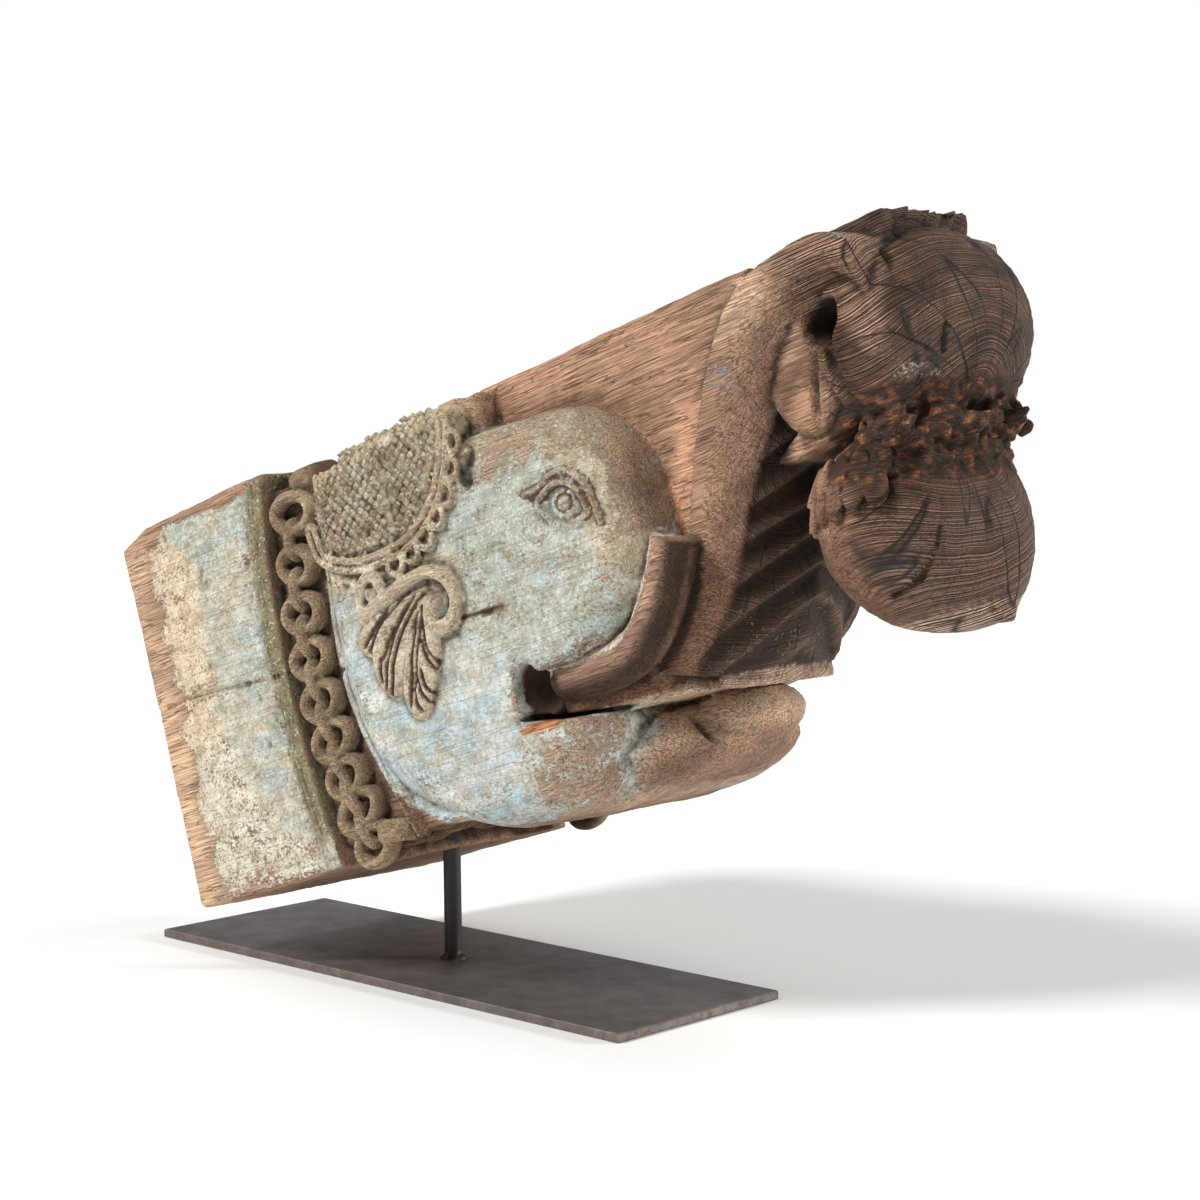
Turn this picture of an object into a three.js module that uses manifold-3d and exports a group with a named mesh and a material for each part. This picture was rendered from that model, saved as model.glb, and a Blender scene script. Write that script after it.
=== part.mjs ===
// Elephant corbel: one carved baulk of old teak, held by a steel rod on a flat steel plate.
// The timber's own frame has x along it from the sawn end, z up from its underside and y across it.
// The carving is read in that frame as (along, up, out), out being the distance from the middle plane.

import * as THREE from 'three';
import { mergeVertices } from 'three/addons/utils/BufferGeometryUtils.js';
import Module from 'manifold-3d';

const wasm = await Module();
wasm.setup();

// Driving sizes, in millimetres and degrees
const timberLength = 688;
const timberHeight = 266;
const timberBreadth = 210;
const timberTilt = 17.4;
const plateLength = 450;
const plateWidth = 150;
const plateThickness = 6;
const rodDiameter = 12;
const rodFromSawnEnd = 149;
const rodClearHeight = 75;
const rodSocketDepth = 60;
const socketClearance = 0.3;
const weldDiameter = 19;
const weldHeight = 4;
const rodSides = 24;

// The carving below is drawn on a timber of these sizes, and follows the real one in proportion
const drawn = { length: 688, height: 266, breadth: 210 };

// The squared end, the sunk collar ahead of it and the neck that the collar is cut down to
const squaredEnd = { half: 105, top: 266, wornTop: 257, wornLength: 26, lean: 5, arris: 5 };
const collar = { edge: 142, waist: 130, bow: 16, reach: 135, steps: 6 };
const neck = { start: 135, end: 345, bottom: 12, top: 254, half: 92, arris: 7 };

// Chain: rings seen face on, joined by links seen edge on, all round the collar
const chain = {
  ringAcross: 42, ringAlong: 29, barWidth: 9, rise: 104, sink: 88, sides: 8,
  linkRadius: 5.4, linkLength: 20, linkRise: 2,
  centre: 166, waist: 137.6, bow: 0.0014, pitch: 29.4, stretch: 0.75, first: -5, last: 3,
  topAlong: 186, topRise: 265, topPitch: 34, topCount: 5,
  underStart: 193, underForward: 76, underRise: 1, underPitch: 26, underCount: 7, underHalf: 96,
  plainRadius: 13, plainBase: 10, plainSides: 7,
};

// Head: outline of the whole head and cheek seen from the side
const head = {
  half: 108, inset: 31, depth: 44, steps: 3, points: 32,
  outline: [
    [188, 180], [187, 147], [189, 112], [198, 70], [217, 38], [248, 14], [292, -3], [345, -6], [380, 0],
    [402, 26], [412, 56], [432, 82], [460, 102], [476, 130], [477, 160], [466, 194], [442, 221],
    [407, 233], [368, 236], [322, 243], [265, 250], [215, 243], [193, 213],
  ],
};

// Embroidered cap: lattice of raised diamonds, a rolled border and scallops along its front
const cap = {
  half: 113, inset: 13, depth: 22, steps: 2, points: 18,
  outline: [
    [207, 197], [222, 187], [253, 181], [292, 184], [320, 200], [334, 214], [345, 236], [345, 254],
    [300, 258], [250, 256], [214, 240], [204, 217],
  ],
  pitch: 15.5, valley: 108.5, peak: 113, low: -2, rows: 17, latticeStart: [145, 220],
  border: [[205, 212], [210, 194], [224, 186], [253, 180], [292, 183], [321, 198], [337, 217], [347, 242]],
  borderRadius: 4.5, borderOut: 108.5, borderSides: 4, borderSteps: 9,
  scallops: 7, scallopStart: 0.55, scallopEnd: 0.98, scallopRadius: 8, scallopOff: 9, scallopRise: 111,
};

// Crest on top of the cap, broken off in front
const crest = { from: 318, to: 352, bottom: 225, top: 262, half: 84, inset: 6 };

// Ear ornament: two volutes and three leaves, standing proud of the cheek
const ear = {
  sunk: 12, foot: 0.5, rise: 6.5, ridge: 0.25,
  volutes: [{ at: [243, 163], radius: 8, bar: 4 }, { at: [300, 141], radius: 13, bar: 5 }],
  link: [[250, 161], [265, 164], [283, 163], [299, 157]],
  leafRoot: [291, 151],
  leaves: [{ tip: [225, 131], width: 22 }, { tip: [242, 95], width: 28 }, { tip: [273, 76], width: 28 }],
};

// Eye: ball in two lids
const eye = {
  centre: [425, 169], out: 105, ball: 10, ballRise: 4, lidRadius: 2.2, lidSteps: 5,
  upperLid: [[402, 173], [412, 182], [426, 185], [438, 178], [447, 156]],
  lowerLid: [[406, 174], [414, 163], [427, 158], [437, 159], [443, 161]],
};

// Mouth: pocket at its corner, slot between lip and jaw, upper lip and lower jaw
const mouth = {
  pocket: [366, 70], pocketAlong: 9, pocketUp: 14, pocketFloor: 82,
  lip: [[346, 96], [380, 90], [412, 76], [448, 62]], lipBottom: 46, lipTop: 78,
  slot: [[352, 56], [372, 50], [430, 44], [470, 42], [470, 46], [430, 49], [372, 57], [354, 60]],
  slotHalf: 70,
};
const jaw = {
  bottom: [-6, -5, -3, 2, 7, 13], top: [50, 50, 49, 47, 44, 41], half: [101, 97, 80, 62, 46, 33],
  along: [325, 352, 385, 410, 430, 442], lean: 0.7, square: 3, sides: 16,
  tongue: { centre: [431, 29], along: 43, up: 20, half: 36, around: 14, rings: 8 },
};

// Sawn tusk stub: a round roll along the cheek
const tusk = {
  radius: 14.5, out: 84, sides: 8, steps: 7,
  centreline: [[357, 74], [372, 71], [405, 72], [430, 74], [447, 81], [462, 95], [474, 110], [486, 131]],
};

// Plain board behind the head, and the trunk that rises in front of it
const board = {
  half: 65, arris: 3,
  outline: [[335, 50], [425, 48], [447, 72], [482, 115], [512, 175], [546, 238], [570, 266], [335, 266]],
};
const trunk = {
  back: [
    [436, 62], [441, 81], [466, 106], [481, 131], [503, 179], [517, 204],
    [537, 234], [561, 257], [600, 266], [626, 266], [644, 256],
  ],
  front: [
    [478, 47], [505, 78], [519, 108], [528, 133], [548, 170], [562, 194],
    [577, 214], [594, 228], [614, 232], [640, 195], [662, 195],
  ],
  half: [67, 67, 67, 67, 67, 67, 67, 67, 66, 62, 46],
};
const folds = {
  count: 8, start: 42, pitch: 19, slope: 13, tall: 22, proud: 6, half: 61,
  turn: [434, 458, 479, 496, 511, 523, 535, 548],
  nose: [464, 500, 522, 536, 541, 544, 548, 557],
  sides: 5,
};

// Curled end of the trunk with its inner tip, and the flat remnant of the top of the timber over it
const curl = {
  centre: [627, 206], radius: 61, half: 63, around: 18, rings: 10,
  hole: [602, 219], holeRadius: 12, holeFloor: 26,
  tip: { centre: [575, 200], along: 27, up: 35, half: 50, inset: 7, points: 10 },
};
const remnant = { from: 556, to: 652, bottom: 244, top: 273, half: 41, slant: 10 };
const wedge = { outline: [[538, 158], [560, 156], [606, 168], [606, 176], [560, 172]], half: 42 };

// Bud under the curl: ball, forward-pointing tip and a calyx of round petals
const bud = {
  centre: [597.5, 104.5], tip: [641, 37], around: 14, steps: 9,
  profile: [
    [0, -60], [24, -55], [46, -38.5], [58, -15], [58, 8], [51, 31],
    [37, 51], [22, 64], [10, 71], [4, 76], [0, 80],
  ],
  calyxRadius: 64, calyxInside: 46, calyxFrom: 22, calyxTo: 74, petals: 9, petalDrop: [0, 10, 10],
};
const breakage = { centre: [628, 154], along: 37, up: 16, half: 42 };

// Finishes
const oldTeak = new THREE.MeshStandardMaterial({ color: 0x8c7a68, roughness: 0.85, metalness: 0 });
const darkSteel = new THREE.MeshStandardMaterial({ color: 0x4a4038, roughness: 0.6, metalness: 0.8 });

// Place in the timber's frame
function at(along, up, out = 0) {
  return new THREE.Vector3(along, -out, up);
}

const toRealTimber = new THREE.Matrix4().makeScale(
  timberLength / drawn.length,
  timberBreadth / drawn.breadth,
  timberHeight / drawn.height,
);

// Closed solid of a geometry, its faces turned outwards; side -1 mirrors it in the middle plane
function solid(geometry, side = 1) {
  const bare = geometry.clone();
  bare.deleteAttribute('normal');
  bare.deleteAttribute('uv');
  const merged = mergeVertices(bare, 1e-3);
  const place = merged.attributes.position;
  for (let i = 0; i < place.count; i += 1) {
    place.setY(i, place.getY(i) * side);
  }
  const corners = merged.index.array;
  const [p, q, r] = [new THREE.Vector3(), new THREE.Vector3(), new THREE.Vector3()];
  const triangles = [];
  let volume = 0;
  for (let i = 0; i < corners.length; i += 3) {
    const [a, b, c] = [corners[i], corners[i + 1], corners[i + 2]];
    if (a !== b && b !== c && c !== a) {
      triangles.push([a, b, c]);
      [p, q, r].forEach((point, k) => point.fromBufferAttribute(place, corners[i + k]));
      volume += p.dot(q.cross(r));
    }
  }
  const outward = volume > 0 ? triangles : triangles.map((triangle) => triangle.reverse());
  return new wasm.Manifold(new wasm.Mesh({
    numProp: 3,
    vertProperties: Float32Array.from(place.array),
    triVerts: Uint32Array.from(outward.flat()),
  }));
}

function bothSides(geometry) {
  return solid(geometry, 1).add(solid(geometry, -1));
}

function joined(solids) {
  return solids.reduce((whole, next) => whole.add(next));
}

function geometryOf(manifold) {
  const mesh = manifold.getMesh();
  const geometry = new THREE.BufferGeometry();
  geometry.setAttribute('position', new THREE.BufferAttribute(mesh.vertProperties, 3));
  geometry.setIndex(new THREE.BufferAttribute(mesh.triVerts, 1));
  return geometry;
}

// Smooth closed outline through a few points
function roundOutline(points, count) {
  const corners = points.map(([along, up]) => new THREE.Vector3(along, up, 0));
  const curve = new THREE.CatmullRomCurve3(corners, true, 'centripetal');
  return curve.getSpacedPoints(count).slice(0, count).map((p) => new THREE.Vector2(p.x, p.y));
}

function cornerOutline(points) {
  return points.map(([along, up]) => new THREE.Vector2(along, up));
}

// Flat form carried across the timber from low to high, with its margins rounded off
function relief(outline, low, high, inset = 0, depth = 0, steps = 1) {
  const geometry = new THREE.ExtrudeGeometry(new THREE.Shape(outline), {
    depth: high - low - 2 * depth,
    bevelEnabled: inset > 0,
    bevelSize: inset,
    bevelOffset: -inset,
    bevelThickness: depth,
    bevelSegments: steps,
    curveSegments: 5,
  });
  geometry.translate(0, 0, low + depth);
  return geometry.rotateX(Math.PI / 2);
}

function slab(outline, half, inset, depth, steps) {
  return relief(outline, -half, half, inset, depth, steps);
}

// Skin over a row of rings with equal numbers of points, closed by a fan at each end
function loft(rings) {
  const corners = [];
  const count = rings[0].length;
  const face = (a, b, c) => corners.push(a, b, c);
  const middle = (ring) => ring.reduce((sum, p) => sum.add(p), new THREE.Vector3()).divideScalar(count);
  for (let r = 0; r + 1 < rings.length; r += 1) {
    for (let i = 0; i < count; i += 1) {
      const j = (i + 1) % count;
      face(rings[r][i], rings[r][j], rings[r + 1][j]);
      face(rings[r][i], rings[r + 1][j], rings[r + 1][i]);
    }
  }
  const first = rings[0];
  const last = rings[rings.length - 1];
  for (let i = 0; i < count; i += 1) {
    const j = (i + 1) % count;
    face(middle(first), first[j], first[i]);
    face(middle(last), last[i], last[j]);
  }
  return new THREE.BufferGeometry().setFromPoints(corners);
}

function circle(radius, sides) {
  const points = [];
  for (let i = 0; i < sides; i += 1) {
    const angle = (2 * Math.PI * i) / sides;
    points.push(new THREE.Vector2(radius * Math.cos(angle), radius * Math.sin(angle)));
  }
  return new THREE.Shape(points);
}

// Round bar along a curve
function bar(points, radius, sides, steps) {
  const path = new THREE.CatmullRomCurve3(points);
  return new THREE.ExtrudeGeometry(circle(radius, sides), { extrudePath: path, steps });
}

// Ball with its own half-sizes along, up and across the timber
function ball(centre, along, up, half, around, rings) {
  const geometry = new THREE.SphereGeometry(1, around, rings);
  geometry.rotateX(Math.PI / 2);
  geometry.scale(along, half, up);
  return geometry.translate(centre[0], -(centre[2] ?? 0), centre[1]);
}

// Geometry drawn flat, moved to a place with its x, y and z turned to three given directions
function laid(geometry, place, across, alongChain, outward) {
  const turn = new THREE.Matrix4().makeBasis(across, alongChain, outward);
  return geometry.applyMatrix4(turn.setPosition(place));
}

function collarEdge(up) {
  return collar.edge + collar.bow * ((up - collar.waist) / collar.reach) ** 2;
}

function squaredEndSolid() {
  const outline = [[0, 3], [3, 0]];
  for (let i = 0; i <= collar.steps; i += 1) {
    const up = (squaredEnd.top * i) / collar.steps;
    outline.push([collarEdge(up), up]);
  }
  outline.push([squaredEnd.wornLength, squaredEnd.top], [-squaredEnd.lean, squaredEnd.wornTop]);
  return solid(slab(cornerOutline(outline), squaredEnd.half, squaredEnd.arris, squaredEnd.arris, 1));
}

function neckSolid() {
  const { start, end, bottom, top, half, arris } = neck;
  const outline = cornerOutline([[start, bottom], [end, bottom], [end, top], [start, top]]);
  return solid(slab(outline, half, arris, arris, 1));
}

function ringGeometry(low, high) {
  const outer = new THREE.Shape();
  outer.absellipse(0, 0, chain.ringAcross / 2, chain.ringAlong / 2, 0, 2 * Math.PI);
  const hole = new THREE.Path();
  const across = chain.ringAcross / 2 - chain.barWidth;
  const along = chain.ringAlong / 2 - chain.barWidth + 1;
  hole.absellipse(0, 0, across, along, 0, 2 * Math.PI);
  outer.holes.push(hole);
  const geometry = new THREE.ExtrudeGeometry(outer, {
    depth: high - low, bevelEnabled: false, curveSegments: chain.sides / 2,
  });
  return geometry.translate(0, 0, low);
}

function edgeLinkGeometry(high) {
  const geometry = new THREE.CylinderGeometry(chain.linkRadius, chain.linkRadius, chain.linkLength, 4);
  return geometry.translate(0, 0, high + chain.linkRise - chain.linkRadius);
}

// One ring and the edge-on link that leads from it to the next ring
function chainPair(place, across, along, outward, ringSink, toNext) {
  const between = place.clone().addScaledVector(along, toNext / 2);
  return [
    laid(ringGeometry(-ringSink, 0), place, across, along, outward),
    laid(edgeLinkGeometry(0), between, across, along, outward),
  ];
}

function chainSolid() {
  const parts = [];
  const sink = chain.rise - chain.sink;
  const out = at(0, 0, 1);
  const chainUp = (k) => chain.waist + chain.pitch * k + chain.stretch * k * k;
  const chainAlong = (up) => chain.centre + chain.bow * (up - chain.waist) ** 2;
  for (let k = chain.first; k <= chain.last; k += 1) {
    const here = at(chainAlong(chainUp(k)), chainUp(k), chain.rise);
    const next = at(chainAlong(chainUp(k + 1)), chainUp(k + 1), chain.rise);
    const along = next.clone().sub(here).normalize();
    const across = along.clone().cross(out);
    const pair = chainPair(here, across, along, out, sink, next.distanceTo(here));
    parts.push(...pair.map(bothSides));
  }
  const plainRing = (place, top) => {
    const ring = new THREE.CylinderGeometry(chain.plainRadius, chain.plainBase, sink, chain.plainSides);
    ring.rotateX(top * Math.PI / 2);
    ring.translate(place.x, place.y, place.z - top * sink / 2);
    parts.push(solid(ring));
  };
  for (let k = 0; k < chain.topCount; k += 1) {
    const outwards = chain.topPitch * ((chain.topCount - 1) / 2 - k);
    plainRing(at(chain.topAlong, chain.topRise, outwards), 1);
  }
  for (let k = 0; k < chain.underCount; k += 1) {
    const outwards = chain.underPitch * ((chain.underCount - 1) / 2 - k);
    const forward = chain.underForward * (1 - (outwards / chain.underHalf) ** 2);
    plainRing(at(chain.underStart + forward, chain.underRise, outwards), -1);
  }
  return joined(parts);
}

function headSolid() {
  const outline = roundOutline(head.outline, head.points);
  return solid(slab(outline, head.half, head.inset, head.depth, head.steps));
}

// Rows of small pyramids standing on a thick plate, on the camera side
function latticeGeometry() {
  const corners = [];
  const step = cap.pitch / 2;
  const count = cap.rows;
  const [startAlong, startUp] = cap.latticeStart;
  const corner = (i, j, out) => at(startAlong + step * (i + j), startUp + step * (i - j), out);
  const quad = (a, b, c, d) => corners.push(a, b, c, a, c, d);
  for (let i = 0; i < count; i += 1) {
    for (let j = 0; j < count; j += 1) {
      const peak = corner(i + 0.5, j + 0.5, cap.peak);
      const ring = [corner(i, j, cap.valley), corner(i, j + 1, cap.valley)];
      ring.push(corner(i + 1, j + 1, cap.valley), corner(i + 1, j, cap.valley));
      ring.forEach((point, k) => corners.push(point, ring[(k + 1) % 4], peak));
      const low = [corner(i, j, cap.low), corner(i + 1, j, cap.low)];
      low.push(corner(i + 1, j + 1, cap.low), corner(i, j + 1, cap.low));
      quad(...low);
    }
    const wall = (p, q) => {
      const { low, valley } = cap;
      quad(corner(...p, low), corner(...q, low), corner(...q, valley), corner(...p, valley));
    };
    wall([i + 1, 0], [i, 0]);
    wall([i, count], [i + 1, count]);
    wall([0, i], [0, i + 1]);
    wall([count, i + 1], [count, i]);
  }
  return new THREE.BufferGeometry().setFromPoints(corners);
}

function capSolid() {
  const outline = roundOutline(cap.outline, cap.points);
  const body = solid(slab(outline, cap.half, cap.inset, cap.depth, cap.steps));
  const parts = [body.intersect(bothSides(latticeGeometry()))];
  const line = new THREE.CatmullRomCurve3(cap.border.map(([a, u]) => at(a, u, cap.borderOut)));
  parts.push(bothSides(bar(line.points, cap.borderRadius, cap.borderSides, cap.borderSteps)));
  for (let k = 0; k < cap.scallops; k += 1) {
    const share = cap.scallopStart + ((cap.scallopEnd - cap.scallopStart) * k) / (cap.scallops - 1);
    const place = line.getPoint(share);
    const tangent = line.getTangent(share);
    const offset = at(tangent.z, -tangent.x).setLength(cap.scallopOff);
    const disc = new THREE.CylinderGeometry(cap.scallopRadius - 1.5, cap.scallopRadius, 20, 6);
    disc.rotateZ(Math.PI);
    disc.translate(place.x + offset.x, -cap.scallopRise + 10, place.z + offset.z);
    parts.push(bothSides(disc));
  }
  const { from, to, bottom, top, half, inset } = crest;
  const ridge = cornerOutline([
    [from, bottom], [to - 6, bottom], [to, top - 14], [to - 8, top - 2], [from + 8, top], [from, top - 6],
  ]);
  parts.push(solid(slab(ridge, half, inset, inset, 1)));
  return joined(parts);
}

function earSolid() {
  const parts = [];
  for (const { at: centre, radius, bar: thick } of ear.volutes) {
    const ring = new THREE.TorusGeometry(radius, thick, 4, 8);
    ring.rotateX(Math.PI / 2);
    ring.translate(centre[0], -head.half, centre[1]);
    parts.push(bothSides(ring));
    parts.push(bothSides(ball([...centre, head.half], radius / 2, radius / 2, thick, 5, 4)));
  }
  const link = ear.link.map(([a, u]) => at(a, u, head.half));
  parts.push(bothSides(bar(link, 4, 5, 4)));
  const [rootAlong, rootUp] = ear.leafRoot;
  for (const { tip, width } of ear.leaves) {
    const root = new THREE.Vector2(rootAlong, rootUp);
    const run = new THREE.Vector2(...tip).sub(root);
    const side = new THREE.Vector2(-run.y, run.x).setLength(width / 2);
    const edge = [[0, 0.3], [0.35, 0.85], [0.65, 1], [0.88, 0.62], [1, 0]];
    const ring = (narrow, out) => {
      const point = ([share, off]) => {
        const place = root.clone().addScaledVector(run, 0.5 + (share - 0.5) * (0.7 + 0.3 * narrow));
        return place.addScaledVector(side, off * narrow);
      };
      const right = edge.map(point);
      const left = edge.slice(0, -1).map(([share, off]) => point([share, -off])).reverse();
      return [...right, ...left].map((place) => at(place.x, place.y, out));
    };
    const foot = ring(1, head.half + ear.foot);
    const ridge = ring(ear.ridge, head.half + ear.rise);
    parts.push(bothSides(loft([ring(1, head.half - ear.sunk), foot, ridge])));
  }
  return joined(parts);
}

function eyeSolid() {
  const lids = [eye.upperLid, eye.lowerLid].map((lid) => {
    const line = lid.map(([a, u]) => at(a, u, eye.out + 2));
    return bothSides(bar(line, eye.lidRadius, 4, eye.lidSteps));
  });
  const globe = ball([...eye.centre, eye.out], eye.ball, eye.ball * 0.85, eye.ballRise + 2, 8, 4);
  return joined([...lids, bothSides(globe)]);
}

// Ring of the jaw: a square-shouldered round in the plane across the timber
function jawRing(k) {
  const ring = [];
  const middle = (jaw.top[k] + jaw.bottom[k]) / 2;
  const tall = (jaw.top[k] - jaw.bottom[k]) / 2;
  for (let i = 0; i < jaw.sides; i += 1) {
    const angle = (2 * Math.PI * i) / jaw.sides;
    const shoulder = (value) => Math.sign(value) * Math.abs(value) ** (2 / jaw.square);
    const up = middle + tall * shoulder(Math.sin(angle));
    const lean = k < 3 ? 0 : jaw.lean * (middle - up);
    ring.push(at(jaw.along[k] + lean, up, -jaw.half[k] * shoulder(Math.cos(angle))));
  }
  return ring;
}

function jawSolid() {
  const sides = solid(loft(jaw.along.map((_, k) => jawRing(k))));
  const { centre, along, up, half, around, rings } = jaw.tongue;
  return sides.add(solid(ball(centre, along, up, half, around, rings)));
}

function lipSolid() {
  const mirror = mouth.lip.map(([a, out]) => [a, -out]).reverse();
  const outline = [...mouth.lip, ...mirror].map(([a, out]) => new THREE.Vector2(a, -out));
  const geometry = new THREE.ExtrudeGeometry(new THREE.Shape(outline), {
    depth: mouth.lipTop - mouth.lipBottom, bevelEnabled: false,
  });
  geometry.translate(0, 0, mouth.lipBottom);
  return solid(geometry);
}

function tuskSolid() {
  const line = tusk.centreline.map(([a, u]) => at(a, u, tusk.out));
  return bothSides(bar(line, tusk.radius, tusk.sides, tusk.steps));
}

// Ring of the trunk at a place between its back and front edges: square at the back, round in front
function trunkRing(back, front, half) {
  const start = new THREE.Vector2(...back);
  const run = new THREE.Vector2(...front).sub(start);
  const profile = [
    [0, -1], [0.3, -1.02], [0.58, -0.96], [0.8, -0.8], [0.94, -0.5], [1, -0.17],
    [1, 0.17], [0.94, 0.5], [0.8, 0.8], [0.58, 0.96], [0.3, 1.02], [0, 1],
  ];
  return profile.map(([share, side]) => {
    const place = start.clone().addScaledVector(run, share);
    return at(place.x, place.y, side * half);
  });
}

function trunkSolid() {
  return solid(loft(trunk.back.map((back, k) => trunkRing(back, trunk.front[k], trunk.half[k]))));
}

// One wrinkle of the trunk: a course that is proud at its lower edge
function foldGeometry(k) {
  const slope = Math.tan(THREE.MathUtils.degToRad(folds.slope));
  const up = folds.start + folds.pitch * k;
  const turn = folds.turn[k];
  const nose = folds.nose[k];
  const ring = (rise, proud) => {
    const points = [at(turn - 40, up + rise - 40 * slope, folds.half - 6 + proud)];
    for (let i = 0; i <= folds.sides; i += 1) {
      const angle = Math.PI / 2 - (Math.PI * i) / folds.sides;
      const along = turn + (nose - turn + proud) * Math.cos(angle);
      points.push(at(along, up + rise + (along - turn) * slope, (folds.half + proud) * Math.sin(angle)));
    }
    points.push(at(turn - 40, up + rise - 40 * slope, -(folds.half - 6 + proud)));
    return points;
  };
  return loft([ring(0, -3), ring(3, folds.proud - 4), ring(folds.tall, -5)]);
}

function foldsSolid() {
  const courses = [];
  for (let k = 0; k < folds.count; k += 1) {
    courses.push(solid(foldGeometry(k)));
  }
  return joined(courses);
}

function curlSolid() {
  const fist = solid(ball(curl.centre, curl.radius, curl.radius, curl.half, curl.around, curl.rings));
  const { centre, along, up, half, inset, points } = curl.tip;
  const round = new THREE.EllipseCurve(centre[0], centre[1], along, up).getPoints(points).slice(0, points);
  const tip = solid(slab(round, half, inset, inset, 2));
  const pit = new THREE.CylinderGeometry(curl.holeRadius, curl.holeRadius * 0.7, 70, 8);
  pit.rotateX(Math.PI);
  pit.translate(curl.hole[0], -(curl.holeFloor + 35), curl.hole[1]);
  return fist.add(tip).subtract(bothSides(pit));
}

function remnantSolid() {
  const { from, to, bottom, top, half, slant } = remnant;
  const outline = cornerOutline([
    [from, bottom], [to - slant, bottom], [to, top - 4], [to - 3, top], [from + 12, top], [from, top - 5],
  ]);
  return solid(slab(outline, half, 2, 2, 1));
}

function wedgeSolid() {
  return solid(slab(cornerOutline(wedge.outline), wedge.half, 1, 2, 1));
}

// Bud drawn about its own axis, which points at the tip
function budSolid() {
  const [along, up] = bud.centre;
  const axis = at(bud.tip[0] - along, bud.tip[1] - up);
  const reach = axis.length();
  const stretch = reach / bud.profile[bud.profile.length - 1][1];
  const outline = bud.profile.map(([width, height]) => new THREE.Vector2(width, height * stretch));
  const profile = new THREE.SplineCurve(outline).getPoints(bud.steps);
  const geometry = new THREE.LatheGeometry(profile, bud.around);
  const turn = new THREE.Quaternion().setFromUnitVectors(new THREE.Vector3(0, 1, 0), axis.normalize());
  geometry.applyQuaternion(turn);
  geometry.translate(along, 0, up);
  return solid(geometry).add(calyxSolid());
}

// Calyx: a shallow bowl over the top of the bud, its lower edge cut into round petals
function calyxSolid() {
  const [along, up] = bud.centre;
  const steps = bud.petals * bud.petalDrop.length;
  const ring = (lean, radius, drops) => {
    const points = [];
    for (let i = 0; i < steps; i += 1) {
      const angle = THREE.MathUtils.degToRad(lean + (drops ? bud.petalDrop[i % bud.petalDrop.length] : 0));
      const round = (2 * Math.PI * i) / steps;
      const width = radius * Math.sin(angle);
      const rise = radius * Math.cos(angle);
      points.push(at(along + width * Math.cos(round), up + rise, width * Math.sin(round)));
    }
    return points;
  };
  const outside = bud.calyxRadius;
  return solid(loft([
    ring(bud.calyxFrom, bud.calyxInside, false),
    ring(bud.calyxFrom, outside, false),
    ring(bud.calyxTo, outside, true),
    ring(bud.calyxTo, bud.calyxInside, true),
  ]));
}

function breakageSolid() {
  const { centre, along, up, half } = breakage;
  return solid(ball(centre, along, up, half, 12, 8));
}

function boardSolid() {
  return solid(slab(cornerOutline(board.outline), board.half, board.arris, board.arris, 1));
}

function mouthCuts() {
  const deep = head.half - mouth.pocketFloor;
  const pocket = ball([...mouth.pocket, head.half], mouth.pocketAlong, mouth.pocketUp, deep, 10, 8);
  const slot = relief(cornerOutline(mouth.slot), mouth.slotHalf, head.half + 4);
  return bothSides(pocket).add(bothSides(slot));
}

// The timber lies tilted over the rod; this group holds it at its place over the plate
const tilted = new THREE.Group();
const tilt = THREE.MathUtils.degToRad(timberTilt);
tilted.rotation.y = -tilt;
const entryHeight = plateThickness + rodClearHeight;
tilted.position.set(-rodFromSawnEnd * Math.cos(tilt), 0, entryHeight - rodFromSawnEnd * Math.sin(tilt));
tilted.updateMatrixWorld(true);

function rodSocket() {
  const radius = rodDiameter / 2 + socketClearance;
  const cutter = new THREE.CylinderGeometry(radius, radius, 2 * rodSocketDepth, rodSides);
  cutter.rotateX(Math.PI / 2);
  cutter.translate(0, 0, entryHeight);
  cutter.applyMatrix4(tilted.matrixWorld.clone().invert());
  return solid(cutter);
}

function timberSolid() {
  const carving = joined([
    squaredEndSolid(),
    neckSolid(),
    headSolid().subtract(mouthCuts()),
    boardSolid(),
    capSolid(),
    chainSolid(),
    earSolid(),
    eyeSolid(),
    lipSolid(),
    jawSolid(),
    tuskSolid(),
    trunkSolid(),
    foldsSolid(),
    curlSolid(),
    remnantSolid(),
    wedgeSolid(),
    budSolid(),
    breakageSolid(),
  ]);
  return carving.transform(toRealTimber.toArray()).subtract(rodSocket());
}

const carvedCorbel = new THREE.Mesh(geometryOf(timberSolid()), oldTeak);
carvedCorbel.name = 'carved_corbel';
tilted.add(carvedCorbel);

function rodGeometry() {
  const radius = rodDiameter / 2;
  const top = entryHeight + rodSocketDepth - socketClearance - plateThickness;
  const profile = [
    [0, 0], [weldDiameter / 2, 0], [weldDiameter / 2 - 1, weldHeight / 3],
    [radius + 1, weldHeight * 0.75], [radius, weldHeight], [radius, top], [0, top],
  ].map(([x, y]) => new THREE.Vector2(x, y));
  return new THREE.LatheGeometry(profile, rodSides).rotateX(Math.PI / 2);
}

const rodMesh = new THREE.Mesh(geometryOf(solid(rodGeometry())), darkSteel);
rodMesh.name = 'stand_rod';
rodMesh.position.z = plateThickness;

const plateGeometry = new THREE.BoxGeometry(plateLength, plateWidth, plateThickness);
const plateMesh = new THREE.Mesh(plateGeometry, darkSteel);
plateMesh.name = 'stand_plate';
plateMesh.position.z = plateThickness / 2;

const corbel = new THREE.Group();
corbel.add(tilted, rodMesh, plateMesh);

export default corbel;
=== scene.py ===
# Elephant corbel: carved and weathered teak on a steel rod and plate.
# The timber has a frame of its own in millimetres: along it from the sawn end, up from its underside
# and out from its middle.
import math

import bpy
import numpy as np
from mathutils import Matrix, Vector


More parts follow.
